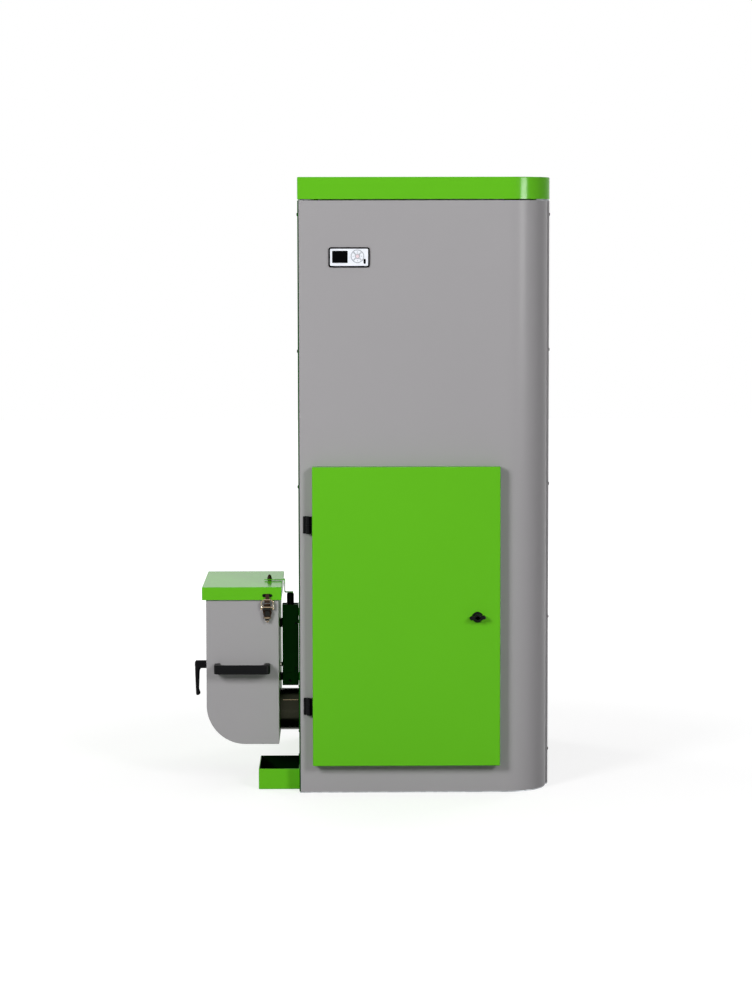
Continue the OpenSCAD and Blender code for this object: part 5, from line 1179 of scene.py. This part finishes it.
class BOILER_OT_clamp(bpy.types.Operator):
    """Build the clamping lever, the bracket it draws the bin to, and the plunger"""

    bl_idname = "boiler.clamp"
    bl_label = "Clamp and bracket"
    bl_options = {"UNDO"}

    def execute(self, context):
        self.lever((TUBE_Y, CLAMP_Z))
        self.bracket(TUBE_Y)
        self.plunger((PLUNGER_X, TUBE_Y))
        return {"FINISHED"}

    def lever(self, axis):
        bm = bmesh.new()
        hub = [(5.1, -528.9), (6.6, -528.9), (6.8, -532), (10, -535), (10, -560.4), (5.1, -563.6)]
        lathe(bm, rounded(hub, [0, 0.6, 1, 1.4, 2.4, 0.3], 4), axis, "x", ring=True)
        rod(bm, (-562.9, -556), axis, 5.1, "x", 0.6, paint=1)
        rings = []
        for level, left, right, depth in LEVER_SECTIONS:
            ring = []
            for c, d in disc((0, 0), 1, 32):
                wide = math.copysign(abs(c) ** 0.75, c) * (right - left) / 2
                deep = math.copysign(abs(d) ** 0.75, d) * depth
                ring.append(((left + right) / 2 + wide, axis[0] + deep, level))
            rings.append(ring)
        skin(bm, rings)
        piece(bm, "Clamp_lever", "Black_plastic", "Bare_steel")

    def bracket(self, y):
        xs, ys, zs = (-346.5, -306.7), about(y, 22), (235, 435)
        groove = zs[0] + 32.5
        inner = oblong(shrink(xs, 2.5), shrink(ys, 2.5), 0.6)
        bm = bmesh.new()
        for span in ((zs[0], groove), (groove + 1, zs[1])):
            prism(bm, oblong(xs, ys, 2.4), span, "z", 0.5, [inner])
        neck = oblong(shrink(xs, 1), shrink(ys, 1), 1.6)
        prism(bm, neck, (groove - 1, groove + 2), "z", 0, [inner])
        guide = oblong(shrink(xs, 2.2), shrink(ys, 2.2), 0.6)
        prism(bm, guide, (426, 432), "z", 0.3, [disc((PLUNGER_X, y), 8.8, 40)])
        for level in (CLAMP_Z - 12, CLAMP_Z + 10):
            prism(bm, guide, (level, level + 2), "z", 0.2)
        for level in shrink(zs, 19.9):
            rod(bm, (xs[1] - 0.5, -SIDE), (y, level), 10, "x")
        screw(bm, (xs[0] + 19, 246.6, ys[0]), "y", -1, 3.4, 1.8, paint=1)
        for level in (279, 389):
            screw(bm, (xs[1] - 6, level, ys[0]), "y", -1, 2.3, 1.1, paint=1)
        # The bracket takes the deep green: painted shade, as it sits in the dark slot between the
        # bin and the cabinet
        made = piece(bm, "Bin_bracket", "Shaded_green_paint", "Black_plastic")
        carve(made, lambda bm: rod(bm, (xs[0] - 3, xs[0] + 6), (y, CLAMP_Z), 5.3, "x"))

    def plunger(self, centre):
        low = 410
        bm = bmesh.new()
        rod(bm, (low, 460.5), centre, 8.75, "z", 1.2)
        crown = [(0.01, 459), (8.2, 459), (8.2, 460), (7.4, 461.6), (5.0, 462.8), (2.2, 463.2)]
        lathe(bm, crown + [(0.01, 463.2)], centre, "z")
        rod(bm, (low, low + 3), centre, 10.25, "z", 0.5)
        piece(bm, "Switch_plunger", "Black_plastic")


class BOILER_OT_ash_path(bpy.types.Operator):
    """Build the ash tube with its flange, and the tray on the floor"""

    bl_idname = "boiler.ash_path"
    bl_label = "Ash tube and tray"
    bl_options = {"UNDO"}

    def execute(self, context):
        y, z, flange = TUBE_Y, TUBE_Z, -306
        bm = bmesh.new()
        rod(bm, (-352.3, -241), (y, z), 51.5, "x", 0.5, bore=48.5, steps=96)
        rod(bm, (flange, -SIDE), (y, z), 60.5, "x", 0.6, bore=51.4, steps=96)
        # A thin light tan rod along the tube's upper front, where a highlight falls: a painted
        # highlight line
        a = radians(214)
        highlight_line = (y + 51.3 * cos(a), z - 51.3 * sin(a))
        rod(bm, (-346, flange - 0.2), highlight_line, 0.9, "x", 0.5, steps=12, paint=2)
        for u, v in arc((y, z), 56.2, pi / 6, 5 * pi / 3, 5):
            screw(bm, (u, v, flange), "x", -1, 2.6, 1.6, paint=1)
        piece(bm, "Ash_tube", "Tube_steel", "Black_plastic", "Tan_highlight_steel")

        xs, ys, rim = (-402.5, -SIDE), (-343, -158), 50
        bm = bmesh.new()
        pan(bm, oblong(xs, ys, 1.9), rim, 0, 2, 1.6, "z")
        # The faces inside the tray get the near-black green: painted shade in its hollow
        paint_within(bm, shrink(xs, 1.5), shrink(ys, 1.5), (1.5, rim + 1))
        piece(bm, "Floor_tray", "Green_paint", "Tray_shade_paint")
        return {"FINISHED"}


# Rear fittings


class BOILER_OT_rear_fittings(bpy.types.Operator):
    """Build the flue collar and the air pipe at the back"""

    bl_idname = "boiler.rear_fittings"
    bl_label = "Rear fittings"
    bl_options = {"UNDO"}

    def execute(self, context):
        xs, (wall, _), zs = spans("flue_collar")
        centre = (middle(xs), middle(zs))
        bm = bmesh.new()
        self.tube(bm, "flue_collar", 50, 0.5, (49.4, 48.8), (22, 8, 1, 1.6), 80)
        prism(bm, oblong(xs, zs, 2), (wall, wall + 3), "y", 0.4, [disc(centre, 49.5, 80)])
        piece(bm, "Flue_collar", "Galvanised_steel")

        bm = bmesh.new()
        self.tube(bm, "air_pipe", 30, 0.4, (29.5, 28.9), (9, 6, 0.8, 1.2), 64)
        piece(bm, "Air_pipe", "Galvanised_steel")
        return {"FINISHED"}

    def tube(self, bm, node, radius, ease, rim, bead, steps):
        """A tube with a bead round it, near its open end."""
        xs, (low, high), zs = spans(node)
        depth, parts, pitch, swell = bead
        bore = radius - 1.5
        line = [(bore, low), (radius, low)]
        for k in range(parts + 1):
            line.append((radius + swell * sin(pi * k / parts), high - depth + k * pitch))
        line += [(radius, high - ease), (rim[0], high), (rim[1], high), (bore, high - ease)]
        lathe(bm, line, (middle(xs), middle(zs)), "y", steps, ring=True)


# Studio


class BOILER_OT_stage(bpy.types.Operator):
    """Set up the floor, the lamps and the camera"""

    bl_idname = "boiler.stage"
    bl_label = "Stage"
    bl_options = {"UNDO"}

    def execute(self, context):
        self.floor()
        self.lamps(context.scene.boiler_studio)
        self.room(context.scene, context.scene.boiler_studio.fill)
        self.camera(context.scene)
        context.scene.view_settings.view_transform = "Standard"
        return {"FINISHED"}

    def floor(self):
        bm = bmesh.new()
        bmesh.ops.create_grid(bm, x_segments=8, y_segments=8, size=14)
        floor = put(bm, "Floor")
        floor.location = (0, 0, -0.0005)
        floor.data.materials.append(self.floor_paint())

    def floor_paint(self):
        """Matt pale grey that shades the object, and reads as white further out."""
        f = Finish("Floor_paint", Roughness=0.9)
        f.colour(f.between(f.noise(1.5, 3), (0.34, 0.34, 0.34), (0.37, 0.37, 0.37)))
        away = f.add("VectorMath", {0: f.place}, operation="LENGTH").outputs["Value"]
        white = f.level(away, 0.7, 1.0, 0.9, 3.2)
        shown = f.add("Math", {0: f.seen(0.0), 1: white}, operation="MULTIPLY").outputs[0]
        glow = f.add("Emission", {"Color": (1, 1, 1, 1), "Strength": shown})
        both = f.add("AddShader", {0: f.shader.outputs["BSDF"], 1: glow.outputs["Emission"]})
        f.tree.links.new(both.outputs[0], f.tree.nodes["Material Output"].inputs["Surface"])
        return f.material

    def lamps(self, studio):
        front, rear, square = (-0.05, -0.39, 0.75), (0, 0.1, 0.7), (1.6, 1.6)
        for lamp in (
            ("Left", (-2.51, -3.9, 2.2), front, (1.07, 1.4), studio.left),
            ("Right", (2.03, -4.14, 2.2), front, (0.85, 1.4), studio.right),
            ("Back", (-3.2, 3.5, 1.7), rear, square, studio.back),
            ("Back", (3.2, 3.5, 1.7), rear, square, studio.back),
            ("Top", (0, 0, 4.5), (0, 0, 0), (2.0, 2.0), studio.top),
        ):
            self.lamp(*lamp).visible_glossy = False
        place, aim = (3.04, -3.24, 1.38), (0.2, -0.35, 1.38)
        self.lamp("Strip", place, aim, (1.15, 0.5), studio.strip).visible_diffuse = False

    def lamp(self, name, place, aim, size, watts):
        data = bpy.data.lights.new(name, "AREA")
        data.shape = "RECTANGLE"
        data.size, data.size_y = size
        data.energy = watts
        lamp = bpy.data.objects.new(name, data)
        lamp.location = place
        lamp.rotation_euler = (Vector(aim) - Vector(place)).to_track_quat("-Z", "Y").to_euler()
        lamp.visible_camera = False
        bpy.context.scene.collection.objects.link(lamp)
        return lamp

    def room(self, scene, strength):
        scene.world = bpy.data.worlds.new("Room")
        scene.world.use_nodes = True
        room = Nodes(scene.world.node_tree)
        sky = room.tree.nodes["Background"].inputs
        sky["Color"].default_value = (1, 1, 1, 1)
        room.tree.links.new(room.seen(strength), sky["Strength"])

    def camera(self, scene):
        data = bpy.data.cameras.new("Camera")
        data.lens, data.sensor_width, data.clip_end = 104.8, 36, 100
        camera = bpy.data.objects.new("Camera", data)
        place = Matrix.Translation((-0.1978, -7.3276, 1.3361))
        for angle, axis in ((-0.666, "Z"), (90 - 5.163, "X"), (-0.098, "Z")):
            place = place @ Matrix.Rotation(radians(angle), 4, axis)
        camera.matrix_world = place
        scene.collection.objects.link(camera)
        scene.camera = camera


# Panel and start


STEPS = (
    BOILER_OT_finishes,
    BOILER_OT_cabinet,
    BOILER_OT_hopper_lid,
    BOILER_OT_front_door,
    BOILER_OT_display,
    BOILER_OT_ash_bin,
    BOILER_OT_latch,
    BOILER_OT_clamp,
    BOILER_OT_ash_path,
    BOILER_OT_rear_fittings,
    BOILER_OT_stage,
)


class BOILER_PT_parts(bpy.types.Panel):
    """Lists the steps that build the boiler, with the sizes and colours they use"""

    bl_idname = "BOILER_PT_parts"
    bl_label = "Pellet boiler"
    bl_space_type = "VIEW_3D"
    bl_region_type = "UI"
    bl_category = "Boiler"

    def draw(self, context):
        for group in GROUPS:
            column = self.layout.column()
            settings = getattr(context.scene, group)
            for name in settings.bl_rna.properties.keys():
                if name not in ("name", "rna_type"):
                    column.prop(settings, name)
        for step in STEPS:
            self.layout.operator(step.bl_idname)


GROUPS = {
    "boiler_sizes": BOILER_PG_sizes,
    "boiler_looks": BOILER_PG_looks,
    "boiler_studio": BOILER_PG_studio,
}
CLASSES = (*GROUPS.values(), *STEPS, BOILER_PT_parts)


def register():
    for part in CLASSES:
        bpy.utils.register_class(part)
    for name, group in GROUPS.items():
        setattr(bpy.types.Scene, name, PointerProperty(type=group))


def unregister():
    for name in GROUPS:
        delattr(bpy.types.Scene, name)
    for part in reversed(CLASSES):
        bpy.utils.unregister_class(part)


def main():
    register()
    for step in STEPS:
        group, name = step.bl_idname.split(".")
        getattr(getattr(bpy.ops, group), name)()


if __name__ == "__main__":
    main()
